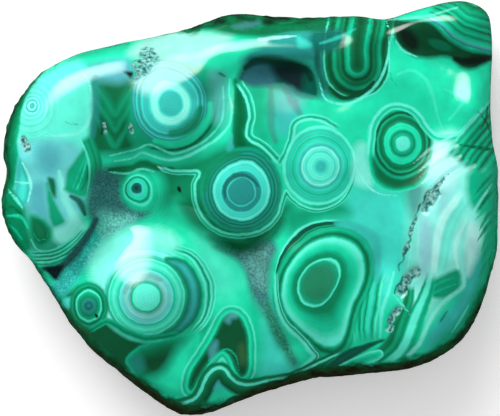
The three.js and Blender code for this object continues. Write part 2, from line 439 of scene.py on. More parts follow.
# Broad tones that everything else lies on.
GROUNDS: Layers = (
    pool("aqua field", "aqua", 7, (18, 0), (24, 5), (33, 4), (37, -4), (36, -13), (31, -19), (26, -20),
         (22, -6)),
    pool("pale flank", "pale", 4, (37, 12), (43, 16.5), (48, 14), (51, 6), (51, -4), (49, -12),
         (44, -18), (39, -24), (35, -22), (35, -10), (35.5, 2)),
    pool("lilac flank", "lilac", 2.5, (38.3, -1), (40.2, -4), (40.4, -11), (39, -15), (37.2, -13),
         (37, -6)),
    pool("lilac right of the pits", "lilac", 2.4, (42, 8), (45.6, 6), (44.6, 2), (42.6, -1.5),
         (40.8, -1.5), (41, 3), cover=0.7),
    pool("grey shade by the pits", "slate", 2.4, (35, 5.6), (38.4, 5), (38, 1), (36, -2), (34.2, 2),
         cover=0.75),
    # Partly the flank's own pale tone and partly a painted highlight, laid in ice white.
    pool("milk of the flank", "ice", 3, (38.5, 11), (42, 15.5), (46, 15.5), (47, 10), (44, 5), (41, 5.5)),
    pool("upper west lobe", "mint", 1.6, (-54.5, 20), (-47, 29.5), (-38, 33), (-35, 26), (-35, 20),
         (-36.6, 13), (-42, 14), (-48, 15), (-54, 13)),
    pool("misty west lobe", "mist", 2.4, (-54, 14), (-46, 15.4), (-39, 14.6), (-36.4, 10), (-36.5, 2),
         (-38, -4), (-44, -11), (-50, -7), (-52, 2), (-53, 8)),
    # Painted reflection: sky mirrored blue in the middle of the west lobe.
    pool("blue patch of the west lobe", "sky", 2.2, (-47, 13.6), (-43, 13.8), (-41.6, 11), (-43.4, 7),
         (-46.4, 8.4)),
    pool("lower blue patch of the west lobe", "sky", 2, (-48.6, 5), (-45.4, 5.4), (-44.6, 0),
         (-44.4, -3), (-46.6, -2), (-48.4, 0)),
    pool("dark ground round the centre eye", "green", 3, (-30, 9), (-24, 10), (-17, 9.5), (-11, 11.5),
         (-6, 13.5), (-1, 14), (3, 12), (2, 8), (-8, 2), (-8, -5), (-13, -3), (-16, 2), (-22, 0),
         (-28, 4)),
    pool("dark ground under the centre eye", "pine", 3, (-15.5, 1), (-11.5, -4.5), (-6, -8.5), (-2, -11),
         (1.5, -9), (5, -6), (9, -1), (8, 1), (0, -3), (-10, 0)),
    pool("shade under the inner eye", "emerald", 3, (8, -1), (12, 0.4), (20, 1.6), (22, -1.5),
         (15, -2.8), (9, -6)),
    pool("dark ground of the south-west", "fern", 2.4, (-42, -20), (-37, -17.5), (-33.5, -17.5),
         (-31.5, -21), (-31, -24), (-27, -28), (-22, -29.5), (-26, -33), (-27.6, -37), (-33, -34),
         (-38, -28)),
    pool("olive of the south-west", "olive", 2.4, (-41, -22.4), (-38.6, -23.6), (-36.4, -28),
         (-35.4, -31), (-38.4, -28.6), cover=0.6),
    pool("north field", "jade", 4, (-1, 26), (0, 16), (3.5, 14.2), (6.5, 12), (8, 16), (7, 22), (11, 26),
         (5, 28)),
    pool("shade of the north field", "emerald", 2.4, (-0.4, 26), (3, 26.4), (3.4, 20), (4, 15),
         (1.6, 14.4), (0, 19), cover=0.6),
    pool("blue of the north field", "turquoise", 3, (5.5, 25), (5.6, 18), (8, 16), (10.5, 19.5),
         (12, 23), (10, 26)),
    pool("blue-green neck", "teal", 2, (14.4, 35.5), (17.5, 35), (19, 30), (18.5, 26), (16, 24),
         (14.8, 27)),
    # Partly the rim's own pale tone and partly a painted highlight haze that whitens it.
    pool("north-west rim", "frost", 2, (-27, 34), (-20, 33), (-12, 33.5), (-5, 36.5), (-4.3, 38.6),
         (-9, 38.8), (-15, 39.6), (-22, 38.5)),
    pool("blue ridge", "teal", 2.4, (3, 37.5), (9, 36.5), (15, 36), (19, 37), (17, 38.6), (9, 38.9)),
    pool("ridge green", "pine", 1.6, (-4.8, 38.4), (2, 37.6), (10, 38.6), (20, 39), (20, 44), (2, 44),
         (-11, 42), (-10, 40)),
    pool("shade over the hollow", "teal", 2, (-2, 32), (2, 35.6), (10, 36.2), (15.4, 35.4), (15, 32),
         (8, 32.6)),
    pool("light right of the small eye", "spring", 3, (-22.4, 8), (-19.6, 7), (-18.8, 3.6), (-19.2, 0.4),
         (-22.4, 0), cover=0.9),
    pool("light by the south-west eye", "mint", 5, (-12, -6), (-6, -10), (-3, -15), (-4, -19), (-8, -19),
         (-11, -14), cover=0.5),
    pool("green skirt of the south", "emerald", 4, (-14.5, -28), (-10, -24), (-7, -26), (-11.5, -33),
         (-14.5, -38), (-18, -36)),
    pool("jade of the south", "jade", 3, (0, -21), (3, -23), (7, -30), (11, -36), (6, -39), (-1, -38.5),
         (-0.5, -30)),
    pool("turquoise of the south", "aqua", 3, (3, -25), (6, -30), (9.5, -36), (5, -37.4), (2, -36.6),
         (3, -31)),
)

# The lobe on the far left, down to the black trench.
WEST: Layers = (
    pool("green foot of the west lobe", "emerald", 2, (-52, 2), (-49.6, 0.5), (-48.3, -2), (-44.5, -4),
         (-42, -6.5), (-41, -8.5), (-44, -11), (-50, -8), (-52, -3), cover=0.85),
    Eye("west eye", "0 turquoise, .55 turquoise, .75 pale, 1 pale, 1.15 turquoise, 1.3 turquoise, "
        "1.45 pale, 1.8 mint, 2 aqua .8, 2.3 pale .8, 2.8 aqua .6, 3.3 pale .6, 3.9 aqua .5, "
        "4.5 pale .4, 5.2 aqua .3, 5.9 pale .2, 6.6 aqua 0", (-48.1, 22.6), 1.6, ((0, 1.55), (90, 1.7),
        (150, 1.9), (225, 2), (300, 1.8))),
    Pool("green left rim", "-.5 jade 0, 0 emerald, .8 green, 2.4 pine", ((-56, 29), (-48.6, 29),
         (-48.8, 26.6), (-50.2, 24), (-50.9, 20.7), (-51.1, 18), (-51.7, 14.4), (-51.3, 11.4),
         (-52, 7.4), (-52.4, 4.8), (-56, 4)), gloss=Gloss.WORN),
    thread("west eye's border", "pale", 0.9, (-37.2, 30.5), (-35.3, 27), (-35, 22), (-35.6, 19),
           (-37.4, 16.8), (-41, 16), (-45, 16), cover=0.7),
    thread("arc under the west eye", "turquoise", 0.4, (-41.5, 19.2), (-39, 18.5), (-36.6, 18.4),
           cover=0.7),
    thread("pale streak of the lobe", "pale", 1.8, (-42, 8), (-41, 3), (-39.6, -0.5), (-37.4, -3.4),
           cover=0.7),
    pool("emerald leaf", "emerald", 0.8, (-40.7, 5.1), (-40.2, 8.1), (-37.7, 11.6), (-35.9, 13.4),
         (-35.4, 8.1), (-36.3, 2.6), (-40.7, 3.8)),
    *(thread(f"leaf's vein {shift}", tone, 0.5, (-36.2 + 0.1 * shift, 12.6 - shift),
             (-38.9 + shift, 8 - 0.4 * shift), (-40.2 + shift, 4.6 - 0.3 * shift))
      for shift, tone in ((1.1, "jade"), (2, "spring"), (3, "green"))),
    Ribbon("bands beside the leaf", "-.4 jade 0, -.15 mint .6, .15 mint .6, .4 emerald, 1.1 emerald, "
           "1.6 green, 2.1 emerald, 2.6 green, 3.2 green 0", ((-37.5, 15.5), (-35.8, 11), (-35.4, 7),
           (-36, 3)), (1, 0.5)),
    pool("wedge", "emerald", 0.8, (-44.9, 5.4), (-44, 3.8), (-42.6, 0.6), (-41.3, -1.8), (-40.6, -3.2),
         (-42, -4), (-43.5, -4), (-44.2, -1.5), (-44.6, 1.5)),
    pool("wedge's dark tip", "pine", 0.8, (-44.6, 6.5), (-43.7, 6.6), (-43, 6.1), (-42.7, 4),
         (-42.8, 2.1), (-43.9, 3.7)),
    Pool("blue leaf", "-.4 turquoise 0, .3 turquoise, .7 turquoise, 1.4 aqua", ((-51.2, 11),
         (-50.4, 10.4), (-48.9, 7.4), (-48.3, 5.1), (-48.8, 1.6), (-50.5, 0.6), (-52, 2.6),
         (-51.8, 6.1))),
    thread("blue leaf's edge", "pale", 0.7, (-50.4, 10.2), (-48.9, 7.4), (-48.3, 4.6), (-49, 1.4)),
    thread("line across the blue leaf", "pale", 0.6, (-51.9, 5.8), (-50, 5.5), (-48.3, 5.6), cover=0.7),
    pool("pale apron", "pale", 1.6, (-43.6, -5.2), (-40.6, -3.4), (-39.5, 0), (-37.5, -2.4), (-36.2, -5),
         (-39.5, -7.8), (-42.4, -7.7)),
    Pool("forest pocket", "-.8 jade 0, -.1 emerald .7, .5 green, 1.1 pine, 1.8 pine .9", ((-48.6, -2.2),
         (-46.8, -1.9), (-45, -3.2), (-43.8, -5.5), (-44.6, -7.8), (-46.6, -8.4), (-48.2, -7))),
    thread("arc in the pocket", "jade", 0.4, (-47.8, -5.4), (-46.6, -7.2), (-45, -6.6), (-44.6, -5),
           cover=0.7),
    thread("bright lip of the pocket", "mint", 0.5, (-48.6, -6.6), (-47.2, -9), (-44.5, -9.6),
           (-42.2, -8.5), (-40.7, -7)),
    Ribbon("bands above the trench", "-2 jade 0, -1.6 mint, -1.3 jade, -1.1 green, -.85 mint, -.5 jade, "
           "-.3 green, 0 mint, .3 jade, .5 pine, .75 mint, 1.1 spring, 1.3 green, 1.6 jade 0",
           ((-36.1, -4.8), (-38.2, -7.5), (-41, -9.8), (-44, -11), (-48.4, -11.2)), (0.6, 1)),
    pool("dark scales", "green", 1, (-55.5, 5), (-53.4, 6.4), (-52, 3.4), (-50.2, 0.4), (-49.2, -4),
         (-48.6, -9), (-52, -9), (-55.5, -3), gloss=Gloss.WORN),
    thread("seam between the scales", "pine", 0.8, (-55, -0.6), (-52.6, 0.2), (-50.6, -1.4),
           (-49.8, -3.4)),
    thread("upper scale's edge", "mint", 0.8, (-53.6, 4), (-51.8, 2.1), (-50, -0.2), cover=0.8),
    thread("middle scale's edge", "spring", 0.8, (-54.4, -2), (-52.3, -1.7), (-50.3, -2.2),
           (-48.9, -4.6), cover=0.8),
    thread("lower scale's edge", "jade", 0.8, (-53.8, -3.5), (-52, -5), (-50.4, -7), cover=0.8),
    pool("matte strip by the trench", "turquoise", 1.4, (-34, -2), (-32.2, -6.2), (-36.2, -13),
         (-40.8, -19), (-43.8, -19.6), (-43.4, -16), (-39, -10.5), (-35.4, -5), gloss=Gloss.MATTE),
    pool("matte floor of the west valley", "slate", 1.8, (-33.8, 8), (-30.5, 9), (-28.4, 6), (-28, 2.5),
         (-26, 0), (-22, -1), (-26.5, -3.8), (-32, -6.5), (-36, -1), (-35.5, 4), gloss=Gloss.MATTE),
    # Partly pale stone and partly painted highlight and reflection at the valley's foot.
    pool("light foot of the west valley", "pale", 2.4, (-33.4, -1), (-29, -1.2), (-25.4, -2.2),
         (-29, -4.8), (-33, -6), cover=0.55),
    thread("dark foot of the leaf", "bottle", 1.6, (-39.5, 2.6), (-37.6, 1.4), (-36.4, -1.4), cover=0.9),
    # Painted shadow: the trench's shade, dark grey-teal along it and near-black in its corner.
    thread("black trench", "soot", 2.2, (-45.9, -13.5), (-43, -13.4), (-40.7, -12), (-37.9, -9),
           (-35.5, -5.5), (-34, -2.5), gloss=Gloss.MATTE),
    pool("trench's corner", "ink", 0.8, (-45.4, -13.2), (-41.4, -12.6), (-41.6, -14), (-43, -16),
         (-44.4, -15), gloss=Gloss.MATTE),
    pool("turquoise chip by the bud", "aqua", 0.8, (-41.8, -20.4), (-38.6, -19.6), (-39, -21.4),
         (-40.8, -22.4)),
)

# The north-west eye, the bands round and under it, and the rim over it.
NORTH_WEST: Layers = (
    pool("green round the north-west eye", "emerald", 1.8, (-26.4, 15), (-22, 12.6), (-17, 11.4),
         (-10, 14), (-6, 18), (-5, 24), (-5.4, 29), (-9.6, 31), (-17, 31.5), (-25, 28), (-26.8, 21)),
    Eye("north-west eye", "0 turquoise, 2.4 turquoise, 2.8 aqua, 3.15 pale, 4.3 pale, 4.8 aqua, "
        "5.2 turquoise, 6.2 turquoise, 6.5 aqua, 6.8 turquoise, 7.1 teal, 7.5 turquoise, 7.8 aqua, "
        "8 teal, 8.4 turquoise, 8.7 teal, 9.4 emerald 0", (-17.4, 22.9), 3.1, ((0, 2.8), (60, 3),
        (115, 3.7), (180, 3), (240, 3.1), (300, 3))),
    thread("dark quarter", "green", 2.8, (-17.4, 16.4), (-14, 17.2), (-12, 19), (-10.9, 22), cover=0.85),
    thread("bright arc under the eye", "spring", 2, (-21, 14.8), (-17, 14), (-13.5, 15), (-10.8, 17.3),
           (-9, 20.5), (-8.8, 23)),
    thread("dark arc under the eye", "pine", 0.7, (-22, 13.2), (-17.5, 12.8), (-13, 13.8), (-9.6, 16.8),
           (-7.8, 20), (-7, 25)),
    # Painted reflection: a grey sheen on the slope right of the eye.
    pool("grey sheen right of the eye", "mist", 2.4, (-8.8, 30), (-5.4, 29), (-4.9, 22), (-6, 18.4),
         (-8, 19.5), (-8.6, 24), cover=0.6),
    thread("eye's border", "mint", 0.7, (-4.5, 28.5), (-4.6, 25), (-4, 22), (-4.5, 18.5), (-7, 15.5),
           (-10, 13.5), (-13.5, 11.6), (-17.2, 10.6), (-20, 11), (-23.8, 12.2), (-26, 11), (-30, 10.3)),
    thread("second border", "mint", 0.6, (-6, 27), (-5.8, 22.5), (-6.4, 19), (-8.6, 16), (-12, 13.6),
           (-17, 12), (-22, 14), (-25, 13), (-31, 11.5), cover=0.8),
    thread("pine band over the small eye", "pine", 1.8, (-31, 8.4), (-26, 8.8), (-23.6, 9.8), (-20, 8.8),
           (-17, 8.6)),
    thread("mint band over the small eye", "mint", 0.6, (-31.4, 8), (-27, 7.6), (-24, 8.6), (-21, 8),
           cover=0.7),
    thread("pale tongue", "pale", 0.7, (-20.5, 9.2), (-19, 8.4), (-17, 8)),
    thread("shade by the west eye", "teal", 2.2, (-34.2, 29), (-34, 22), (-34.6, 16), cover=0.7),
    pool("green rim", "moss", 1.4, (-40.4, 32.6), (-36, 35.4), (-31, 37.4), (-26.8, 38), (-26.6, 36.2),
         (-27.4, 34.8), (-31, 34.4), (-36, 33.4), cover=0.45),
)

# The hollow under the north rim, the field below it and the curl.
NORTH: Layers = (
    # Painted shade and painted reflection: the hollow's bottle green, blue-grey and black stand for its
    # shade and for dark surroundings mirrored in it.
    pool("dark hollow", "bottle", 1.6, (-3, 28.2), (-1, 32.3), (1, 33.7), (8, 33), (13, 31.7),
         (14.9, 29), (15.1, 24.6), (12.4, 24.6), (10.4, 25.4), (8.4, 26.6), (5, 27.2), (1, 27),
         (-1.4, 27.6), gloss=Gloss.WORN),
    pool("blue of the hollow", "steel", 1.6, (-1.9, 28.3), (0, 31.6), (4, 31.6), (6, 29.4), (5, 27.3),
         (1, 27.1)),
    pool("black of the hollow", "ink", 2.2, (5, 31.4), (8, 31.8), (11.6, 31), (11.9, 28.6), (11.4, 26),
         (9.4, 26.2), (7.4, 27.6), (5.4, 29.4)),
    # Painted shadow under the ridge, and the painted shade fading out along the hollow's lower edge.
    thread("black rim of the hollow", "black", 2.4, (-1, 31), (2, 32.6), (7, 32.2), (12.2, 30.4),
           (13.4, 28.4), cover=0.7),
    thread("soft lower edge of the hollow", "slate", 2.2, (4, 26.8), (7.4, 26.6), (10.4, 25.2),
           (13.6, 24.4), cover=0.5, gloss=Gloss.WORN),
    Pool("dark strip left of the field", "-.6 green 0, 0 green, .6 pine, 1.4 fern", ((-3.4, 28.4),
         (-2.3, 27.2), (-1.4, 25), (-0.7, 22.4), (-0.5, 19.5), (-1.2, 16.6), (-0.2, 14.6), (2.2, 13),
         (4.6, 11), (3, 10.6), (0, 12), (-2.4, 12.4), (-3.8, 14), (-3.7, 18), (-3.4, 22), (-3.3, 25.5)),
         gloss=Gloss.WORN),
    thread("blue strip over the centre eye", "turquoise", 1.6, (-4.2, 16), (-4.4, 13), (-4, 10.4),
           cover=0.8),
    # Painted reflections: grey streaks mirrored in the polished field.
    thread("grey streak of the field, left", "slate", 2, (4.6, 27), (4.6, 22), (4.7, 18), (5.6, 14.6),
           cover=0.55),
    thread("grey streak of the field, right", "slate", 2, (7.4, 27), (9.2, 23.8), (11.6, 19.8),
           cover=0.6),
    Ribbon("double border of the field", "-.5 mint 0, -.2 mint, .1 mint, .35 emerald, .7 emerald, "
           ".95 spring, 1.25 mint, 1.5 jade 0", ((-3, 27.6), (-1.2, 25), (-0.3, 22.4), (-0.1, 20),
           (-0.8, 16.6), (0, 15), (2.6, 13.5), (5, 11.2), (6.8, 9.2))),
    Ribbon("field's border on the inner eye", "-.4 mint 0, -.1 mint, .2 mint, .5 emerald, .8 jade, "
           "1.1 mint, 1.5 jade 0", ((6.8, 9.2), (8.3, 12), (9.6, 15.4), (10.2, 18.4), (13, 19.5),
           (16, 19), (19.4, 17))),
    pool("green of the curl", "pine", 1.2, (16, 36), (16.2, 30), (17.2, 25.6), (20.6, 23.6), (24.8, 25),
         (28, 28.4), (29.8, 33), (30.2, 38), (30, 44), (16, 44)),
    Thread("curl", "0 forest, 1.1 pine, 1.5 green, 1.8 jade, 2.4 emerald, 2.7 green, 3 forest, "
           "3.5 pine, 3.8 green, 4.1 pine, 4.5 green, 4.8 emerald, 5.2 emerald, 5.5 pine, 6 forest, "
           "6.6 pine, 6.9 green, 7.2 mint .8, 7.6 jade 0", ((23.6, 31.4), (23.6, 36), (24.6, 41),
           (26, 48)), (1, 1)),
    thread("dark crescent under the curl", "forest", 1.2, (17.5, 26.5), (20.5, 24.3), (24.5, 25.3),
           (27.3, 27.8)),
    thread("pale border of the curl", "mint", 0.7, (15, 31), (15.8, 26), (17, 23.8), (21, 22.9),
           (25, 24.5), (28.5, 28), (30.4, 33), (30.8, 38), (30.3, 41.5)),
    pool("worn ridge over the hollow", "teal", 1.4, (4.4, 37.4), (9, 38.6), (14, 38.6), (14.4, 36),
         (13.6, 34.8), (9, 35.6), (4.6, 36), cover=0.9, gloss=Gloss.WORN),
    pool("worn ridge by the curl", "deep_teal", 1.4, (13.6, 38.8), (17, 39.4), (20.4, 39.4), (20.6, 37),
         (19.4, 35), (17, 34.4), (14, 34.8), cover=0.92, gloss=Gloss.WORN),
    pool("scratched patch of the ridge", "aqua", 1, (10.4, 38), (12, 37.2), (13.6, 35.8), (10.8, 35.4),
         cover=0.65),
    # Painted highlight: the thin end of the ridge's highlight.
    thread("last streak of the ridge's light", "ice", 0.8, (2, 37.2), (6, 37.7), (10.6, 38),
           ends=(1, 0.3), cover=0.6),
    thread("pale scratches of the worn ridge", "aqua", 0.9, (15, 36.2), (19, 37.4), (23.4, 39.6),
           cover=0.4),
    thread("blue stripe by the curl", "deep_teal", 1.6, (14.8, 36.5), (15, 31), (16.4, 26.4)),
)

# The pair of eyes in the middle and the valley under them.
MIDDLE: Layers = (
    pool("matte valley", "slate", 1.8, (-8, -8.6), (-2, -9.4), (4, -7), (6, -9), (4.4, -13), (4.4, -19),
         (6.4, -25), (10.6, -34.4), (8.4, -34), (3.6, -25), (0.2, -19), (-1.6, -13.4), (-4, -10.6),
         gloss=Gloss.MATTE),
    pool("light of the matte valley", "ash", 2, (-1.6, -10.4), (1.4, -9.2), (4.2, -8.4), (4.2, -13),
         (3.4, -18), (1.6, -17.4), (0, -14), cover=0.6),
    thread("green tail of the valley", "moss", 2.2, (3.4, -21), (5.8, -27), (9.8, -34),
           gloss=Gloss.MATTE, cover=0.7),
    pool("shadow under the centre eye", "forest", 2.5, (-9, -6.4), (-4, -7.6), (0, -7.8), (4, -6.4),
         (7, -2.6), (6, -5.8), (2.4, -8.6), (-1, -9.9), (-5.6, -9.4), cover=0.8, gloss=Gloss.MATTE),
    Eye("centre eye", "0 teal, 2.85 teal, 3 turquoise, 3.12 aqua, 3.28 teal, 4.2 teal, 4.5 aqua, "
        "5.6 aqua, 5.9 mint, 6.2 mint, 6.4 turquoise, 6.65 deep_teal, 6.9 emerald, 7.15 teal, "
        "7.4 deep_teal, 7.65 emerald, 7.95 teal, 8.2 green, 8.5 teal, 8.8 emerald, 9.4 emerald 0",
        (-1.9, 3.5), 6.2, ((0, 6.1), (45, 6.5), (75, 7.1), (110, 6.3), (180, 6.1), (270, 6.1))),
    thread("green patch over the centre eye", "green", 2.4, (-2.2, 12), (-6, 10.8), (-9, 8), (-10, 4),
           cover=0.85),
    thread("dark of the teal ring", "deep_teal", 1, (-5.5, 2.2), (-5.5, 4.8), (-3.8, 6.8), (-1.2, 7.2),
           (1, 5.9), (1.7, 4.8), cover=0.9),
    Ribbon("border of the pair", "-.9 jade 0, -.7 mint .6, -.45 emerald, -.2 emerald, -.1 mint .8, "
           ".3 mint .8, .6 emerald 0", ((-19.8, 9.1), (-16.8, 8.1), (-11.8, 8.1), (-11.3, 7.1),
           (-12.3, 5.1), (-11.8, 0.5), (-9.8, -3), (-6.7, -5.2), (-3.2, -6), (0.3, -5.7), (3.3, -4.5),
           (5.9, -2), (7.1, 1.6), (7.9, 3.8), (8.9, 2.6), (10.9, 0.8), (13.4, -0.2), (16.4, -0.2),
           (20, 1.6), (22.3, 5), (23.2, 9)), (1, 0.7)),
    Eye("small eye", "0 black, .8 deep_teal, 1.1 deep_teal, 1.35 aqua, 2.3 spring, 2.5 emerald, "
        "2.65 green, 2.85 jade, 3.1 mint, 3.35 spring, 3.9 jade .7, 4.8 emerald 0", (-25.1, 4.4), 3.1,
        ((0, 3.2), (90, 2.8), (135, 2.5), (200, 2.9), (260, 3.2), (300, 4.2), (335, 3.6))),
    Eye("inner eye", "0 turquoise, .9 turquoise, 1.4 aqua, 2.1 mint, 2.9 mint, 3.3 aqua, 3.7 mint, "
        "4.1 pale, 4.3 mint, 4.5 turquoise, 4.75 turquoise, 5 aqua, 5.7 spring, 5.95 turquoise, "
        "6.2 jade, 6.5 spring, 6.85 turquoise, 7.1 spring, 7.4 turquoise, 7.7 spring, 8 mint, 8.3 mint, "
        "8.6 spring 0", (15.6, 9.1), 8.4, ((0, 7.8), (45, 8.3), (90, 9.2), (125, 9), (150, 8.2),
        (210, 8.6), (250, 8.7), (300, 8), (340, 7.5))),
    pool("pale channel", "pale", 1.8, (23.4, 14), (22.6, 9), (23, 5.6), (26.4, 4.6), (27, 7.4),
         (25.8, 11), (25.6, 14), cover=0.8),
    thread("line east of the inner eye", "pale", 0.45, (22.8, 13), (23.2, 9.6), (25.7, 5.1), (28.7, 3.1),
           (32.3, 2.8)),
)

# The north-east field, its hollow, its corner and the east eye.
EAST: Layers = (
    # Painted shade and painted reflection: the east hollow's forest green and black ends stand for its
    # shade and dark surroundings mirrored in it.
    pool("east hollow", "forest", 1.2, (31.5, 41.6), (35, 41.6), (39.8, 41), (43.8, 37.4), (48.4, 34.9),
         (54, 33.9), (50, 30.9), (46.9, 30.9), (43.8, 33.4), (39.8, 33.2), (35.8, 33.7), (32.3, 36.9)),
    pool("black of the hollow's left end", "black", 1.6, (32.8, 40), (35.4, 39.4), (37.4, 36.6),
         (36.4, 34.6), (33.6, 36.4)),
    # Painted highlight along the hollow's lower-left edge.
    thread("line by the hollow's left end", "mint", 0.6, (31.3, 38.4), (33.7, 35), (37, 33.4), cover=0.8),
    thread("black of the hollow's right end", "black", 2.2, (45.4, 33), (48, 32.4), (54, 33.4)),
    Ribbon("bands of the north-east corner", "-.6 teal 0, -.2 teal, .2 sky, .7 spring, 1.3 jade, "
           "1.8 green, 2.4 jade, 3 emerald, 3.5 pine, 4.1 jade, 4.7 green, 5.2 emerald, 5.9 jade, "
           "6.5 green, 7.3 emerald, 8.2 green, 9 pine, 10 forest 0", ((38.6, 42.4), (42.2, 40.2),
           (45, 37.6), (48.4, 36), (53, 35), (60, 34)), (0.8, 1)),
    # Painted highlight along the lip of the north-east corner.
    thread("lip of the north-east corner", "pale", 0.7, (30.6, 41.8), (35, 42), (40, 42.6), (46, 44.4),
           cover=0.4),
    thread("arc of the field", "mint", 0.9, (32.3, 29.4), (35.8, 30.4), (38.8, 28.4), (40.3, 24.8),
           (41.3, 20.8), (42.3, 17.8), cover=0.3),
    thread("outer arc of the field", "mint", 0.9, (42.8, 26.3), (46.9, 24.3), (45.9, 21.8), (43.8, 19.3),
           cover=0.3),
    thread("thin dark line by the curl", "emerald", 0.4, (30.5, 31), (31.4, 28.4), (32.8, 26.4),
           cover=0.8),
    Pool("dark body of the east eye", "-.3 mint 0, 0 spring, .35 jade, .9 green, 1.6 pine, 2.6 pine",
         ((26.4, 18), (26.2, 12.1), (26.6, 8.1), (28.2, 5.1), (31.3, 3.8), (34.8, 4.1), (37.3, 5.1),
         (38.9, 7.4), (40, 14), (37, 20), (31, 21))),
    pool("dark lower right of the east eye", "forest", 2, (32, 4.6), (35.6, 5.4), (38.4, 8),
         (39.2, 12.6), (36.8, 9.4), (34, 6.8), cover=0.7, gloss=Gloss.WORN),
    Eye("east eye", "0 mint, 1.45 mint, 1.75 jade, 2.7 green, 2.95 jade, 3.15 spring, 4.1 spring, "
        "4.4 green, 5 pine, 5.4 green, 5.6 jade, 5.8 green, 6.1 forest, 6.4 green, 6.75 jade .8, "
        "7.4 green 0", (33.7, 14.2), 5.6, ((0, 5.3), (45, 5.6), (100, 6.4), (150, 5.8), (180, 5.4),
        (225, 5.9), (260, 6.4), (310, 5.6))),
    Ribbon("border of the east eye", "-.5 mint 0, -.2 mint, .2 mint, .5 jade, .9 spring, 1.2 mint .8, "
           "1.5 jade 0", ((52, 22.4), (48.6, 19), (46, 16.4), (43, 15.8), (41, 16.2), (39.5, 17.6),
           (36.6, 21.4), (33, 22.9), (29.8, 22.2), (27, 18.8), (26.2, 14), (26, 11))),
    Ribbon("hatched bands of the right edge", "-9 green 0, -8 pine, -7 spring, -6.3 pine, -5.6 jade, "
           "-5 green, -4.2 spring, -3.5 pine, -2.8 jade, -2.1 green, -1.3 spring, -.6 emerald, 0 mint, "
           ".5 jade 0", ((43, 11.6), (46.4, 16.2), (52, 22.4), (56, 27))),
    thread("dark line over the flank", "pine", 0.9, (46.4, 13.9), (50, 13.4), (55.4, 12.7)),
    pool("jade patch of the right edge", "jade", 1.6, (47.9, 7), (51, 8.4), (53.6, 5), (53, -1),
         (48.6, 0.4)),
)

# The flank on the right, below the east eye, and the bands that run down it.
FLANK: Layers = (
    pool("blue-green lower flank", "turquoise", 2.4, (48, -9), (51.4, -10), (52, -17), (48, -25),
         (42, -30), (38.6, -31), (40.4, -26), (46, -20), (47.4, -14)),
    pool("light edge of the flank", "ice", 2, (47.4, -3), (50.4, -4), (50.8, -8), (49.4, -12),
         (47.8, -14.8), (47.2, -8)),
    # Streaks through the flank's painted highlight, white, grey and misty in turn.
    *(thread(f"feather of the milk at {x}", tone, width, (x, y), (x + 4, y + 3.4), (x + 8.6, y + 6),
             ends=(0.3, 0.8), cover=cover)
      for x, y, tone, width, cover in (
          (36, 9.8, "ice", 0.8, 0.4), (36.4, 8.8, "ash", 0.8, 0.4), (37, 7.8, "ice", 0.9, 0.6),
          (37.2, 6.6, "ash", 0.9, 0.5), (37.8, 5.4, "ice", 1, 0.6), (39.4, 4.4, "mist", 1, 0.5),
          (41, 3.4, "ice", 1, 0.5))),
    *(thread(f"hair of the right edge at {y}", tone, 0.8, (54.6, y + 3), (52.4, y + 1),
             (50.4 - lean, y - 2.4), ends=(1, 0.3), cover=0.85)
      for y, lean, tone in (
          (7, 1.6, "jade"), (5.2, 1, "green"), (3.4, 1.4, "emerald"), (1.4, 0.4, "pine"), (-0.6, 1, "jade"),
          (-2.8, 0, "green"), (-5, 0.4, "pine"), (-7.4, -0.6, "emerald"), (-10, -0.6, "green"),
          (-13, -0.2, "pine"))),
    pool("leaf of the flank", "emerald", 1, (45.9, -13.6), (46, -18), (42, -20), (38.4, -18.6),
         (38.6, -17), (42, -15)),
    *(thread(f"leaf line at {y}", "jade", 0.6, (38.6, y - 2.2), (42, y), (46, y + 1.4))
      for y in (-16.4, -18)),
    Ribbon("pale bands of the flank", "-1.6 ice 0, -.8 ice .9, .3 ice .9, 1.1 aqua .5, 2 mint .5, "
           "2.8 aqua .4, 3.8 pale 0", ((47, 4), (45.4, 1.4), (43, -2), (41.6, -6), (41, -11),
           (40.4, -15.4)), (0.8, 0.7), 3),
    thread("white line of the flank", "ice", 1.1, (48.4, -2.6), (46.2, -5.4), (45.3, -8), (45.2, -10.6),
           (45.8, -13.4), cover=0.8),
    Ribbon("inner band of the flank", "-2 green 0, -1.4 green, -1 jade, -.6 mint, .6 mint, 1 jade, "
           "1.5 emerald, 2.1 jade, 2.6 spring 0", ((40, -14), (38.6, -19), (36.4, -24), (34.9, -28.4),
           (33.2, -31.6), (30, -34.4)), (0.5, 1), 3),
    thread("outer band of the flank", "pale", 0.9, (53.6, 5.4), (50.4, 1), (47.8, -3.6), (46.7, -8),
           (46.6, -12), (47.1, -15.5), (46.8, -17.6), (42.4, -21), (39.6, -25), (37.6, -29.6),
           (35, -32.6), ends=(0.5, 1), cover=0.85),
    Ribbon("dark green of the lower flank", "-1.8 green 0, -1.2 green, -.4 pine, .4 emerald, 1.2 green, "
           "1.8 green 0", ((35.4, -17), (34.8, -21), (33.1, -25), (32, -28.4), (30.4, -31), (27, -33.6)),
           (0.6, 1)),
    Ribbon("bands right of the south eye", "-3.2 spring 0, -2.6 mint, -2.1 jade, -1.7 spring, "
           "-1.2 emerald, -.9 green, -.5 spring, -.1 jade, .2 green, .6 spring, 1.2 aqua .7, 1.8 jade, "
           "2.2 green, 2.6 spring, 3 mint, 3.5 jade 0", ((27.8, -13), (26.3, -17), (25.6, -21),
           (25, -25), (25.2, -29.8)), (0.8, 0.8), 3),
    thread("thin line by the pits, left", "pale", 0.5, (35.6, -6), (35.3, -10), (34.4, -15), cover=0.6),
    thread("thin line by the pits, right", "pale", 0.5, (37.2, -2.6), (37, -7), (36.8, -11), cover=0.6),
    thread("bright line of the lower flank", "mint", 0.9, (31.8, -14), (30.4, -19), (29.1, -22.6),
           (28.7, -28.6)),
    pool("green right rim", "emerald", 1.6, (53.2, 10), (56, 8), (56, -8), (54, -20), (48, -31),
         (40, -33), (41, -29.6), (45.2, -25.4), (49.2, -19), (51.6, -9), (53.2, 0), cover=0.9),
)

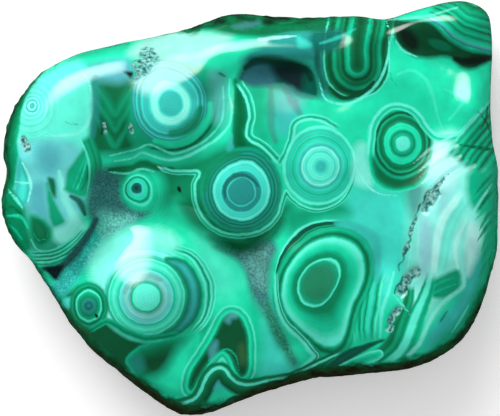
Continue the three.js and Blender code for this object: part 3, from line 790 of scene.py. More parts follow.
# The two great eyes of the south, the bud and the lobes along the lower edge.
SOUTH: Layers = (
    Eye("skirt rings of the south-west eye", "0 mint, 8.8 mint, 9.1 turquoise, 9.4 mint, 10.1 pale, "
        "10.5 aqua, 11 mint .7, 12 mint 0", (-22.8, -19.6), 9.3, ((0, 9.3), (90, 9.3), (150, 9.6),
        (200, 8.8), (240, 8.1), (285, 8.3), (320, 9))),
    # Partly the eye's pale rim and partly painted highlight on its upper-left slope.
    pool("milk of the south-west eye", "pale", 2.5, (-35.6, -14), (-35, -10), (-31.6, -6.5),
         (-25.6, -4.6), (-19, -4.8), (-15.5, -7.5), (-17, -9.6), (-22.8, -8.6), (-28.6, -11),
         (-31.8, -16), (-34, -17), cover=0.85),
    Pool("dark crescent of the south-west eye", "-.4 jade 0, 0 emerald, .35 green, .7 teal, "
         "1.4 turquoise", ((-19.6, -28.4), (-15, -27.4), (-11.5, -23.7), (-10.8, -17.5), (-13.8, -12),
         (-18.2, -10.9), (-18.4, -12.2), (-15.8, -14.2), (-14, -18.1), (-14.4, -22.5), (-16.6, -26),
         (-19.6, -27.8))),
    Ribbon("lines right of the crescent", "-3.2 spring 0, -2.6 mint, -2.2 jade, -1.6 mint, -1.2 green, "
           "-.8 jade, -.5 mint, -.1 mint, .2 green 0", ((-13.4, -27.4), (-10.6, -23.4), (-10.2, -17.5),
           (-13, -11.6), (-17.4, -9.6)), (0.5, 0.6), 3),
    Eye("south-west eye", "0 mint, 2.8 mint, 3.1 spring, 3.3 emerald, 3.6 ash, 4 mist .9, 4.5 frost .7, "
        "4.8 mist .9, 5.4 mist .9, 5.8 mint, 6.1 turquoise, 6.4 spring, 7.2 mint, 7.9 spring, 8.3 mint, "
        "8.6 emerald, 9.2 green 0", (-22.8, -19.6), 5.6, ((0, 5.6), (180, 5.6))),
    thread("grey arc of the south-west eye", "ash", 1.8, (-27.6, -18.6), (-26, -16.2), (-22.8, -14.9),
           (-19.6, -15.8), cover=0.8),
    thread("dark arc of the south-west eye", "green", 0.7, (-26.2, -18), (-25.4, -16.8), (-23.8, -16.2),
           cover=0.8),
    Eye("south eye's rings", "0 green, 5.4 green, 6.2 emerald, 7 jade, 8.2 spring, 9.2 mint, 9.6 mint, "
        "9.95 jade, 10.3 green, 10.7 pine, 11.1 emerald, 11.5 jade, 12 green .6, 12.6 jade 0",
        (15.2, -16.5), 9.5, ((0, 9.2), (22, 10.5), (45, 11.3), (67, 10.5), (90, 9.2), (115, 7.8),
        (140, 7.2), (180, 7.6), (220, 9.3), (245, 10), (262, 11.4), (285, 15.5), (303, 10.4), (325, 8.2),
        (345, 8.5))),
    Eye("south eye", "0 moss, 3.2 moss, 4.2 emerald, 4.6 mint, 4.8 spring, 5 green, 5.5 green .8, "
        "6.5 green 0", (15.2, -16.5), 4.7, ((0, 4), (25, 5.2), (55, 6.3), (95, 4.8), (140, 4.1),
        (185, 4.6), (235, 5.7), (270, 5.2), (300, 4), (330, 3.6))),
    Ribbon("dark crown of the south eye", "-.6 emerald 0, -.3 mint .8, .1 mint .8, .4 forest, "
           ".8 bottle, 1.2 forest, 1.5 emerald, 1.9 pine, 2.2 jade 0", ((20, -2.7), (15.4, -3),
           (11.4, -4.5), (8.4, -7.5), (6.4, -11), (5.4, -15.1)), (0.6, 0.2)),
    Ribbon("left lines of the south eye", "-1.4 mint 0, -.8 mint, -.4 mint, 0 green, .3 mint, .6 green, "
           ".9 spring 0", ((5.9, -14), (6.2, -20), (8, -25), (11.5, -28.5), (14, -31.5), (14.8, -33),
           (13, -35), (11, -37)), (0.5, 1)),
    thread("blue band right of the south eye", "turquoise", 2.4, (19, -3.3), (23, -4), (27, -6.5),
           (28, -10), (28, -16), cover=0.7),
    Eye("bud", "0 teal, .8 deep_teal, 1.2 teal, 2 green, 2.5 emerald, 2.75 jade, 2.95 mint, 3.15 jade, "
        "3.4 pine, 3.7 green, 3.95 emerald, 4.3 green, 4.9 green 0", (-35.6, -21.6), 3, ((0, 2.75),
        (90, 3.5), (180, 2.75), (270, 3.5))),
    Ribbon("skirt of the south-west eye", "-.7 green 0, -.35 jade, 0 green, .4 emerald, .75 jade, "
           "1.1 green 0", ((-35.7, -27.4), (-33.6, -26.2), (-31.6, -25.2), (-29.6, -26), (-27.1, -27.5),
           (-22.6, -28.9), (-15.5, -28))),
    Pool("south lobe", "-.5 jade 0, 0 jade, .4 emerald, 1.2 green, 2.4 pine, 3.6 forest", ((-27.3, -34),
         (-25, -31.2), (-22.6, -30.2), (-15.5, -28.5), (-11.5, -28), (-13, -34), (-14.4, -40),
         (-15.5, -41.8), (-21, -40.1), (-24, -38))),
    pool("grey nose of the south lobe", "teal", 1.8, (-26.6, -34), (-24.6, -32.4), (-23.4, -34.4),
         (-24.6, -36.6), cover=0.7),
    pool("spring belly of the south lobe", "spring", 3, (-23.4, -38.6), (-19, -36), (-15.6, -30.5),
         (-11.5, -28), (-13, -34), (-14.4, -40), (-15.5, -41.4), (-20.5, -40)),
    Pool("dark pocket", "-2 spring 0, -1.5 mint .7, -1.1 emerald .8, -.8 jade, -.3 spring, .1 green, "
         ".7 forest, 2.2 forest", ((-3.7, -23.2), (-1.8, -24.6), (-0.6, -28), (-0.3, -32), (-0.5, -36),
         (-1.8, -37.4), (-3, -36), (-4.6, -32.6), (-6.4, -31.6), (-9, -34), (-11.6, -38), (-13, -40.4),
         (-13.6, -39), (-12.8, -36), (-9.8, -31.4), (-7.6, -27.6), (-5.6, -24))),
    pool("olive of the pocket", "olive", 1.4, (-2.5, -30.6), (-1.4, -30), (-0.9, -34), (-2.1, -34.4),
         cover=0.35),
    # Painted reflections: blue glints of sky at the pocket's edge.
    pool("blue glint of the pocket's tip", "sky", 1, (-5.6, -24.8), (-4.4, -23.1), (-2.7, -23.1),
         (-2.8, -24.2), (-4, -24.6), (-4.6, -25.6), cover=0.6),
    pool("blue glint of the pocket's side", "sky", 1, (-9.2, -31.4), (-7.8, -29.2), (-7, -29.8),
         (-7.4, -31.8), (-8.4, -34.2), (-9, -33), cover=0.55),
    thread("inner arch of the pocket", "jade", 0.5, (-9.2, -33.8), (-7.2, -32.2), (-5.2, -31.2),
           (-3.2, -32.6), (-2.4, -36), cover=0.8),
    pool("turquoise under the arch", "turquoise", 1.2, (-10.4, -40), (-9.4, -37.2), (-6.6, -35.4),
         (-5, -37), (-4.4, -39), (-7, -40.4)),
    Ribbon("line along the lower edge", "-3 bottle 0, -2.2 forest, -1.2 pine, -.5 green, -.3 mint, "
           ".15 mint, .45 green, 1 pine, 1.5 green 0", ((-17, -43.8), (-12.6, -42.4), (-11, -40.4),
           (-10.2, -38.4), (-9, -36.4), (-7.2, -35.3), (-5.6, -35.6), (-4.3, -37.3), (-2.4, -38.8),
           (0.4, -39), (3.9, -38.3), (8.4, -37.6), (10.4, -36.8), (15, -34.4), (20, -32)), (1, 0.6)),
    Pool("seam of the south-east", "-.3 jade 0, 0 green, .4 bottle, 1 deep_teal", ((15.4, -36.4),
         (18.6, -33.5), (22, -31.2), (29.7, -29), (26.6, -30.8), (22, -33.6), (17, -36.6))),
    Pool("bright lens of the south-east", "-.3 mint 0, 0 mint, .4 spring, 1 jade", ((18.6, -36),
         (22.6, -33.5), (28.2, -31.4), (29.2, -32.8), (25.6, -34.6), (20.6, -36.2))),
)

# Dark cracks, scratches and pits, over everything else.
MARKS: Layers = (
    thread("upper crack of the east", "black", 0.6, (43.8, 7.4), (42.6, 6.7), (42.2, 5.9), (40.9, 5.1),
           (40.5, 4.3), (39.2, 3.7), (38.5, 2.4), (38.3, 1.3), (37.3, 0.6), (36.9, -0.8), (36.4, -1.4),
           cover=0.8),
    thread("lower crack of the east", "bottle", 0.6, (36.4, -1.4), (36.5, -2.7), (35.7, -3.5),
           (35.9, -4.6), (35.1, -5.6), (35.4, -7), (34.6, -8), (34.7, -9.2), (33.8, -10), (33.9, -11.4),
           (32.8, -12.6), (32.9, -14), cover=0.7),
    thread("edge of the lower crumbs", "bottle", 0.6, (34.2, -14.6), (33.6, -15.4), (33.3, -16.6),
           (32.3, -17.4), (31.8, -19), cover=0.8),
    thread("scratch over the crumbs", "mint", 0.6, (31.5, -19), (33.5, -21.3), (35.3, -23.5), cover=0.7),
    thread("dark scratch of the flank", "bottle", 0.6, (43.6, -22.6), (42.6, -24.2), (41.6, -25.6),
           cover=0.7),
    thread("light scratch of the south-east", "mint", 0.6, (48.4, -21.4), (46.6, -24.6), (44.6, -27.6),
           cover=0.5),
    thread("scratch of the right edge", "forest", 0.6, (50.2, 21.4), (52, 19.4), (53.4, 16.6), cover=0.8),
    thread("second scratch of the right edge", "forest", 0.6, (51, 17.4), (52.2, 20), (52.6, 22.6),
           cover=0.8),
    pool("black pit of the north-west", "black", 0.6, (-27.9, 30.1), (-26.8, 30.2), (-25.8, 29.9),
         (-26.4, 28.6), (-27, 29.2)),
    thread("dark of the saddle's pit", "black", 0.7, (-32.8, 18.8), (-32.6, 17.2), (-32.8, 16.2),
           cover=0.7),
    thread("dark pit", "black", 0.8, (-16, 4.8), (-15.4, 3.6)),
    thread("bud's pit", "black", 0.8, (-34.1, -23.4), (-33.7, -24.2)),
    thread("crack by the ridge", "bottle", 0.6, (-7, 29.9), (-5.4, 29), cover=0.8),
    pool("grey lens on the top rind", "slate", 1, (-4.2, 40.4), (-1.4, 41.4), (2.2, 41.6), (2.3, 40.8),
         (-0.6, 39.7), (-2.8, 39.6), cover=0.75),
    pool("dark ball on the top rind", "black", 1, (2.8, 41.9), (4.4, 42.3), (5.1, 41.4), (4.2, 40.5),
         (2.9, 40.8), cover=0.7),
)

# Soft tones, which the mesh carries as colours, and sharp bands, which the material draws.
SOFT_LAYERS: Layers = SADDLE + GROUNDS
REGIONS: dict[str, Layers] = {
    "west": WEST, "north_west": NORTH_WEST, "north": NORTH,
    "middle": MIDDLE, "east": EAST, "flank": FLANK, "south": SOUTH,
}


@dataclass(frozen=True)
class Chip:
    """A pit, crack or broken patch that the polish left, along a line."""

    line: tuple[Point, ...]
    width: float
    depth: float
    fray: float = 0.7
    # The floor, in shares of the depth: its mean, how far noise moves it, its least and its most.
    floor: Fade = (0.7, 0.9, 0.15, 1.5)

    def share(self, spots: np.ndarray, ragged: np.ndarray) -> np.ndarray:
        """Gives how far each spot is broken out.

        Args:
            spots: places in plan.
            ragged: noise that frays the chip's edge.

        Returns:
            0 outside the chip to 1 inside it, and a half where the gap is the chip's width.
        """
        gap = np.abs(across(spots, np.array(self.line))[0]) / self.width
        return np.clip(1.5 - gap - self.fray * ragged, 0, 1)

    def drop(self, share: np.ndarray, ragged: np.ndarray) -> np.ndarray:
        """Gives how deep each spot lies in the chip.

        Args:
            share: how far it is broken out.
            ragged: noise that makes the chip's floor uneven.

        Returns:
            Depth in millimetres.
        """
        mean, sway, least, most = self.floor
        return share * self.depth * np.clip(mean + sway * ragged, least, most)


CHIPS: tuple[Chip, ...] = (
    Chip(((-24, 30.4), (-22.8, 32.2), (-22.4, 33.4)), 1.9, 0.5),
    Chip(((-50.2, 15.4), (-49.4, 14.2), (-49, 13.2)), 0.8, 0.5),
    Chip(((-32.3, 18.4), (-31.8, 16.6)), 0.5, 0.3),
    Chip(((-26.4, 18.2), (-26.2, 16.8)), 0.4, 0.3),
    Chip(((42.6, 6.4), (41, 4.6)), 0.35, 0.3),
    Chip(((40.8, 3.4), (39.6, 1.4), (38.6, -0.2)), 1.1, 0.5),
    Chip(((36.6, -2), (35.6, -4.4), (35.2, -6)), 0.4, 0.3),
    Chip(((34.7, -8.4), (33.9, -10.2)), 0.5, 0.3),
    Chip(((36.2, -14), (34.8, -16), (33.4, -18.4)), 1.1, 0.6),
    Chip(((32.6, -22.4), (31.4, -24), (30.8, -26.6)), 0.7, 0.6),
)


def add(tree: Tree, kind: str, settings: dict[str, Any] | None = None,
        links: dict[Any, Any] | tuple[Any, ...] = ()) -> bpy.types.Node:
    """Adds a node, sets it up and links its inputs.

    Args:
        tree: the material's or group's nodes.
        kind: the node's type, without Blender's prefix.
        settings: values for the node's own settings.
        links: the socket or plain value that each input gets, in order or by the input's name or number.

    Returns:
        The node.
    """
    node = tree.nodes.new("ShaderNode" + kind)
    for name, value in (settings or {}).items():
        setattr(node, name, value)
    for name, value in links.items() if isinstance(links, dict) else enumerate(links):
        if isinstance(value, Socket):
            tree.links.new(value, node.inputs[name])
        else:
            node.inputs[name].default_value = value
    return node


@dataclass(frozen=True)
class PolishedMalachite:
    """Malachite, sawn, ground and buffed: a glassy green stone with sharp fibrous bands.

    The polish gives the eye clear white highlights over saturated bands. Valleys that the wheel
    couldn't reach stay matte and greyer, and the natural rind is rough, dark and stained.
    """

    # Malachite's mean refractive index is 1.65 to 1.91.
    ior: float = 1.75
    waver_mm: float = 1.6
    waver_depth_mm: float = 0.22
    cloud_mm: float = 5
    cloud_shade: Fade = (0.25, 0.75, 0.84, 1.12)
    # Growth lines are 0.1 to 0.3 mm apart in the stone, and are drawn coarser so that they show.
    growth_mm: float = 0.62
    growth_bend: float = 9
    growth_shade: Fade = (4, 10, 0.05, 0)
    # Pores and crumbs swallow the shine, and show as flecks and grit.
    shine: Fade = (0.1, 0.32, 0.5, 0)
    fleck_mm: float = 0.5
    fleck_shade: Fade = (0.32, 0.68, 0.65, 1.45)
    fleck_cover: Fade = (0.3, 0.6, 0, 1)
    grit_mm: float = 0.5
    grit_depth_mm: float = 0.2
    grit_strength: Fade = (0.1, 0.6, 0.02, 0.8)
    chip_mm: float = 0.7
    chip_fray: float = 1.2
    chip_cover: Fade = (0.95, 1.2, 0, 1)
    chip_tones: Shades = ((0.32, Tone.BOTTLE), (0.42, Tone.SLATE), (0.54, Tone.ASH), (0.7, Tone.CRUMB))
    rind_mm: float = 3
    rind_fray_mm: float = 4
    rind_cover: Fade = (1.4, 2.8, 0, 1)
    rind_depth: Fade = (0, 4, 0.03, -0.12)
    rind_tones: Shades = ((0.36, Tone.BLACK), (0.48, Tone.FOREST), (0.64, Tone.PINE), (0.82, Tone.GREEN))
    # Rust stains the rind most in the south and on its outside.
    rust_south_mm: Pair = (-10, -40)
    rust_share: Pair = (0.15, 0.85)
    rust_depth: Fade = (0, 2, 0.3, 1)

    def material(self, regions: dict[str, Layers], marks: Layers) -> bpy.types.Material:
        """Builds the stone's material.

        Args:
            regions: the banding, whose places the mesh carries in threes.
            marks: what lies over the rind too, carried likewise.

        Returns:
            The material.
        """
        material = bpy.data.materials.new("polished_malachite")
        material.use_nodes = True
        tree = material.node_tree
        tree.nodes.clear()
        place = add(tree, "TexCoord").outputs["Object"]
        waver = self.grain(tree, place, self.waver_mm, detail=2)
        colour = add(tree, "Attribute", {"attribute_name": "ground"}).outputs["Color"]
        rough: Any = Gloss.POLISHED.value
        for region, layers in regions.items():
            over = {"Colour": colour, "Roughness": rough, "Waver": waver}
            colour, rough = add(tree, "Group", {"node_tree": self.banding(region, layers)}, over).outputs
        colour = self.cloudy(tree, place, colour)
        colour = self.flecked(tree, place, colour, rough)
        colour, rough = self.rind(tree, place, colour, rough)
        over = {"Colour": colour, "Roughness": rough, "Waver": waver}
        colour, rough = add(tree, "Group", {"node_tree": self.banding("marks", marks)}, over).outputs
        colour, rough = self.chipped(tree, place, colour, rough)
        bump = self.tooth(tree, place, rough)
        shine = add(tree, "MapRange", links=(rough, *self.shine)).outputs[0]
        shader = add(tree, "BsdfPrincipled", links={
            "Base Color": colour, "Roughness": rough, "IOR": self.ior, "Specular IOR Level": shine,
            "Normal": bump})
        add(tree, "OutputMaterial", links={"Surface": shader.outputs["BSDF"]})
        return material

    @staticmethod
    def grain(tree: Tree, place: Socket, size: float, detail: float) -> Socket:
        """Adds cloudy noise.

        Args:
            tree: the material's nodes.
            place: where on the stone.
            size: millimetres from one cloud to the next.
            detail: how many finer clouds lie in it.

        Returns:
            The noise, about 0.3 to 0.7.
        """
        settings = {"Vector": place, "Scale": 1 / (size * MM), "Detail": detail}
        return add(tree, "TexNoise", links=settings).outputs["Fac"]

    def banding(self, region: str, layers: Layers) -> Tree:
        """Makes a group that paints a region's layers over what it is given.

        Args:
            region: the region's name.
            layers: its banding, in order.

        Returns:
            The group.
        """
        tree = bpy.data.node_groups.new(region, "ShaderNodeTree")
        for name, kind in (("Colour", "Color"), ("Roughness", "Float"), ("Waver", "Float")):
            tree.interface.new_socket(name, in_out="INPUT", socket_type="NodeSocket" + kind)
        for name, kind in (("Colour", "Color"), ("Roughness", "Float")):
            tree.interface.new_socket(name, in_out="OUTPUT", socket_type="NodeSocket" + kind)
        given = tree.nodes.new("NodeGroupInput")
        colour, rough, waver = given.outputs[:3]
        centred = add(tree, "Math", {"operation": "SUBTRACT"}, (waver, 0.5)).outputs[0]
        carried = self.carried(tree, region)
        for layer in layers:
            low, high = layer.span()
            wavered = add(tree, "Math", {"operation": "MULTIPLY_ADD"}, (
                centred, self.waver_depth_mm * 2 / (high - low), next(carried)))
            ramp = add(tree, "ValToRGB", {"label": layer.name}, (wavered.outputs[0],))
            stops = read_bands(layer.bands)
            marks = ramp.color_ramp.elements
            for place, _, _ in stops[1:-1]:
                marks.new((place - low) / (high - low))
            for mark, (_, tone, cover) in zip(marks, stops):
                mark.color = (*linear(tone.value), cover)
            over = ramp.outputs["Alpha"]
            if isinstance(layer, Ribbon):
                over = add(tree, "Math", {"operation": "MULTIPLY"}, (over, next(carried))).outputs[0]
            colour = add(tree, "Mix", {"data_type": "RGBA"}, {
                0: over, 6: colour, 7: ramp.outputs["Color"]}).outputs[2]
            if layer.gloss is not Gloss.KEEP:
                rough = add(tree, "Mix", links={0: over, 2: rough, 3: layer.gloss.value}).outputs[0]
        result = tree.nodes.new("NodeGroupOutput")
        tree.links.new(colour, result.inputs[0])
        tree.links.new(rough, result.inputs[1])
        return tree

    @staticmethod
    def carried(tree: Tree, region: str) -> Iterator[Socket]:
        """Reads what the mesh carries for a region.

        Args:
            tree: the region's nodes.
            region: its name.

        Returns:
            The values one after another, as :meth:`MalachiteStone.carry` stored them.
        """
        for number in itertools.count():
            three = add(tree, "Attribute", {"attribute_name": f"{region}_{number}"}).outputs["Vector"]
            yield from add(tree, "SeparateXYZ", links=(three,)).outputs

    def cloudy(self, tree: Tree, place: Socket, colour: Socket) -> Socket:
        """Varies the bands by clouds in the stone and by fine growth lines.

        Args:
            tree: the material's nodes.
            place: where on the stone.
            colour: the bands' colour.

        Returns:
            The varied colour.
        """
        cloud = self.grain(tree, place, self.cloud_mm, detail=4)
        growth = add(tree, "Attribute", {"attribute_name": "growth"}).outputs["Fac"]
        waves = add(tree, "Math", {"operation": "MULTIPLY_ADD"}, (growth, math.tau / self.growth_mm, 0.0))
        bent = add(tree, "Math", {"operation": "MULTIPLY_ADD"}, (cloud, self.growth_bend, waves.outputs[0]))
        lines = add(tree, "Math", {"operation": "SINE"}, (bent.outputs[0],)).outputs[0]
        shade = add(tree, "MapRange", links=(cloud, *self.cloud_shade)).outputs[0]
        strong = add(tree, "MapRange", links=(growth, *self.growth_shade)).outputs[0]
        fine = add(tree, "Math", {"operation": "MULTIPLY_ADD"}, (lines, strong, shade)).outputs[0]
        return add(tree, "VectorMath", {"operation": "SCALE"}, {0: colour, "Scale": fine}).outputs[0]

    def flecked(self, tree: Tree, place: Socket, colour: Socket, rough: Socket) -> Socket:
        """Flecks the places that the wheel left matte.

        Args:
            tree: the material's nodes.
            place: where on the stone.
            colour: the bands' colour.
            rough: the bands' roughness.

        Returns:
            The flecked colour.
        """
        fleck = self.grain(tree, place, self.fleck_mm, detail=4)
        shade = add(tree, "MapRange", links=(fleck, *self.fleck_shade)).outputs[0]
        matte = add(tree, "MapRange", links=(rough, *self.fleck_cover)).outputs[0]
        share = add(tree, "Mix", links={0: matte, 2: 1.0, 3: shade}).outputs[0]
        return add(tree, "VectorMath", {"operation": "SCALE"}, {0: colour, "Scale": share}).outputs[0]

    def chipped(self, tree: Tree, place: Socket, colour: Socket, rough: Socket) -> tuple[Socket, Socket]:
        """Shows broken stone in the chips: grey and white crumbs between dark gaps.

        Args:
            tree: the material's nodes.
            place: where on the stone.
            colour: the bands' colour.
            rough: the bands' roughness.

        Returns:
            Colour and roughness with the chips.
        """
        crumb = self.grain(tree, place, self.chip_mm, detail=5)
        broken = self.shaded(tree, crumb, self.chip_tones)
        chip = add(tree, "Attribute", {"attribute_name": "chip"}).outputs["Fac"]
        ragged = add(tree, "Math", {"operation": "MULTIPLY_ADD"}, (crumb, self.chip_fray, chip)).outputs[0]
        cover = add(tree, "MapRange", links=(ragged, *self.chip_cover)).outputs[0]
        colour = add(tree, "Mix", {"data_type": "RGBA"}, {0: cover, 6: colour, 7: broken}).outputs[2]
        return colour, add(tree, "Mix", links={0: cover, 2: rough, 3: Gloss.WORN.value}).outputs[0]

    @staticmethod
    def shaded(tree: Tree, share: Socket, shades: Shades) -> Socket:
        """Turns noise into tones.

        Args:
            tree: the material's nodes.
            share: the noise.
            shades: where in the noise each tone stands, in order.

        Returns:
            The colour.
        """
        ramp = add(tree, "ValToRGB", links=(share,))
        marks = ramp.color_ramp.elements
        for _ in shades[2:]:
            marks.new(0.5)
        for mark, (stand, tone) in zip(marks, shades):
            mark.position = stand
            mark.color = (*linear(tone.value), 1)
        return ramp.outputs[0]

    def rind(self, tree: Tree, place: Socket, colour: Socket, rough: Socket) -> tuple[Socket, Socket]:
        """Covers the unpolished sides with the natural rind, and grinds the sawn back matte.

        Args:
            tree: the material's nodes.
            place: where on the stone.
            colour: the bands' colour.
            rough: the bands' roughness.

        Returns:
            Colour and roughness with the rind.
        """
        crust = self.grain(tree, place, self.rind_mm, detail=6)
        edge = add(tree, "Attribute", {"attribute_name": "rind"}).outputs["Fac"]
        dark = add(tree, "MapRange", links=(edge, *self.rind_depth)).outputs[0]
        deeper = add(tree, "Math", {"operation": "ADD"}, (crust, dark)).outputs[0]
        stain = self.shaded(tree, deeper, self.rind_tones)
        south = add(tree, "SeparateXYZ", links=(place,)).outputs[1]
        near, far = self.rust_south_mm
        rusty = add(tree, "MapRange", links=(south, near * MM, far * MM, *self.rust_share)).outputs[0]
        outer = add(tree, "MapRange", links=(edge, *self.rust_depth)).outputs[0]
        rusty = add(tree, "Math", {"operation": "MULTIPLY"}, (rusty, outer)).outputs[0]
        stain = add(tree, "Mix", {"data_type": "RGBA"}, {
            0: rusty, 6: stain, 7: (*linear(Tone.RUST.value), 1)}).outputs[2]
        ragged = add(tree, "Math", {"operation": "MULTIPLY_ADD"}, (crust, self.rind_fray_mm, edge))
        cover = add(tree, "MapRange", links=(ragged.outputs[0], *self.rind_cover)).outputs[0]
        colour = add(tree, "Mix", {"data_type": "RGBA"}, {0: cover, 6: colour, 7: stain}).outputs[2]
        rough = add(tree, "Mix", links={0: cover, 2: rough, 3: Gloss.RIND.value}).outputs[0]
        sawn = add(tree, "Attribute", {"attribute_name": "sawn"}).outputs["Fac"]
        return colour, add(tree, "Mix", links={0: sawn, 2: rough, 3: Gloss.SAWN.value}).outputs[0]

    def tooth(self, tree: Tree, place: Socket, rough: Socket) -> Socket:
        """Gives rough places a grit under the light that polished ones don't have.

        Args:
            tree: the material's nodes.
            place: where on the stone.
            rough: the roughness.

        Returns:
            The normal.
        """
        grit = self.grain(tree, place, self.grit_mm, detail=3)
        share = add(tree, "MapRange", links=(rough, *self.grit_strength)).outputs[0]
        links = {"Height": grit, "Strength": share, "Distance": self.grit_depth_mm * MM}
        return add(tree, "Bump", links=links).outputs[0]


def edges_of(faces: np.ndarray) -> tuple[np.ndarray, np.ndarray, np.ndarray]:
    """Lists the edges of triangles.

    Args:
        faces: the triangles.

    Returns:
        The edges, which of them each triangle's sides are, and how many triangles use each.
    """
    sides = np.concatenate([faces[:, [0, 1]], faces[:, [1, 2]], faces[:, [2, 0]]])
    edges, which, uses = np.unique(np.sort(sides, 1), axis=0, return_inverse=True, return_counts=True)
    return edges, which.ravel(), uses


def neighbours(corners: np.ndarray, edges: np.ndarray) -> np.ndarray:
    """Adds up, for each corner, the corners that edges join to it.

    Args:
        corners: the corners.
        edges: the edges that count.

    Returns:
        The sums.
    """
    total = np.zeros_like(corners)
    np.add.at(total, edges[:, 0], corners[edges[:, 1]])
    np.add.at(total, edges[:, 1], corners[edges[:, 0]])
    return total


def fractal(corners: np.ndarray, size: float, fall: float) -> np.ndarray:
    """Gives lumpy noise at each corner.

    Args:
        corners: the corners, in millimetres.
        size: millimetres from one lump to the next.
        fall: how fast finer lumps lose height.

    Returns:
        The noise, about -1 to 1.
    """
    finer, octaves = 2.0, 3
    return np.array([noise.fractal(Vector(c) / size, fall, finer, octaves) for c in corners])


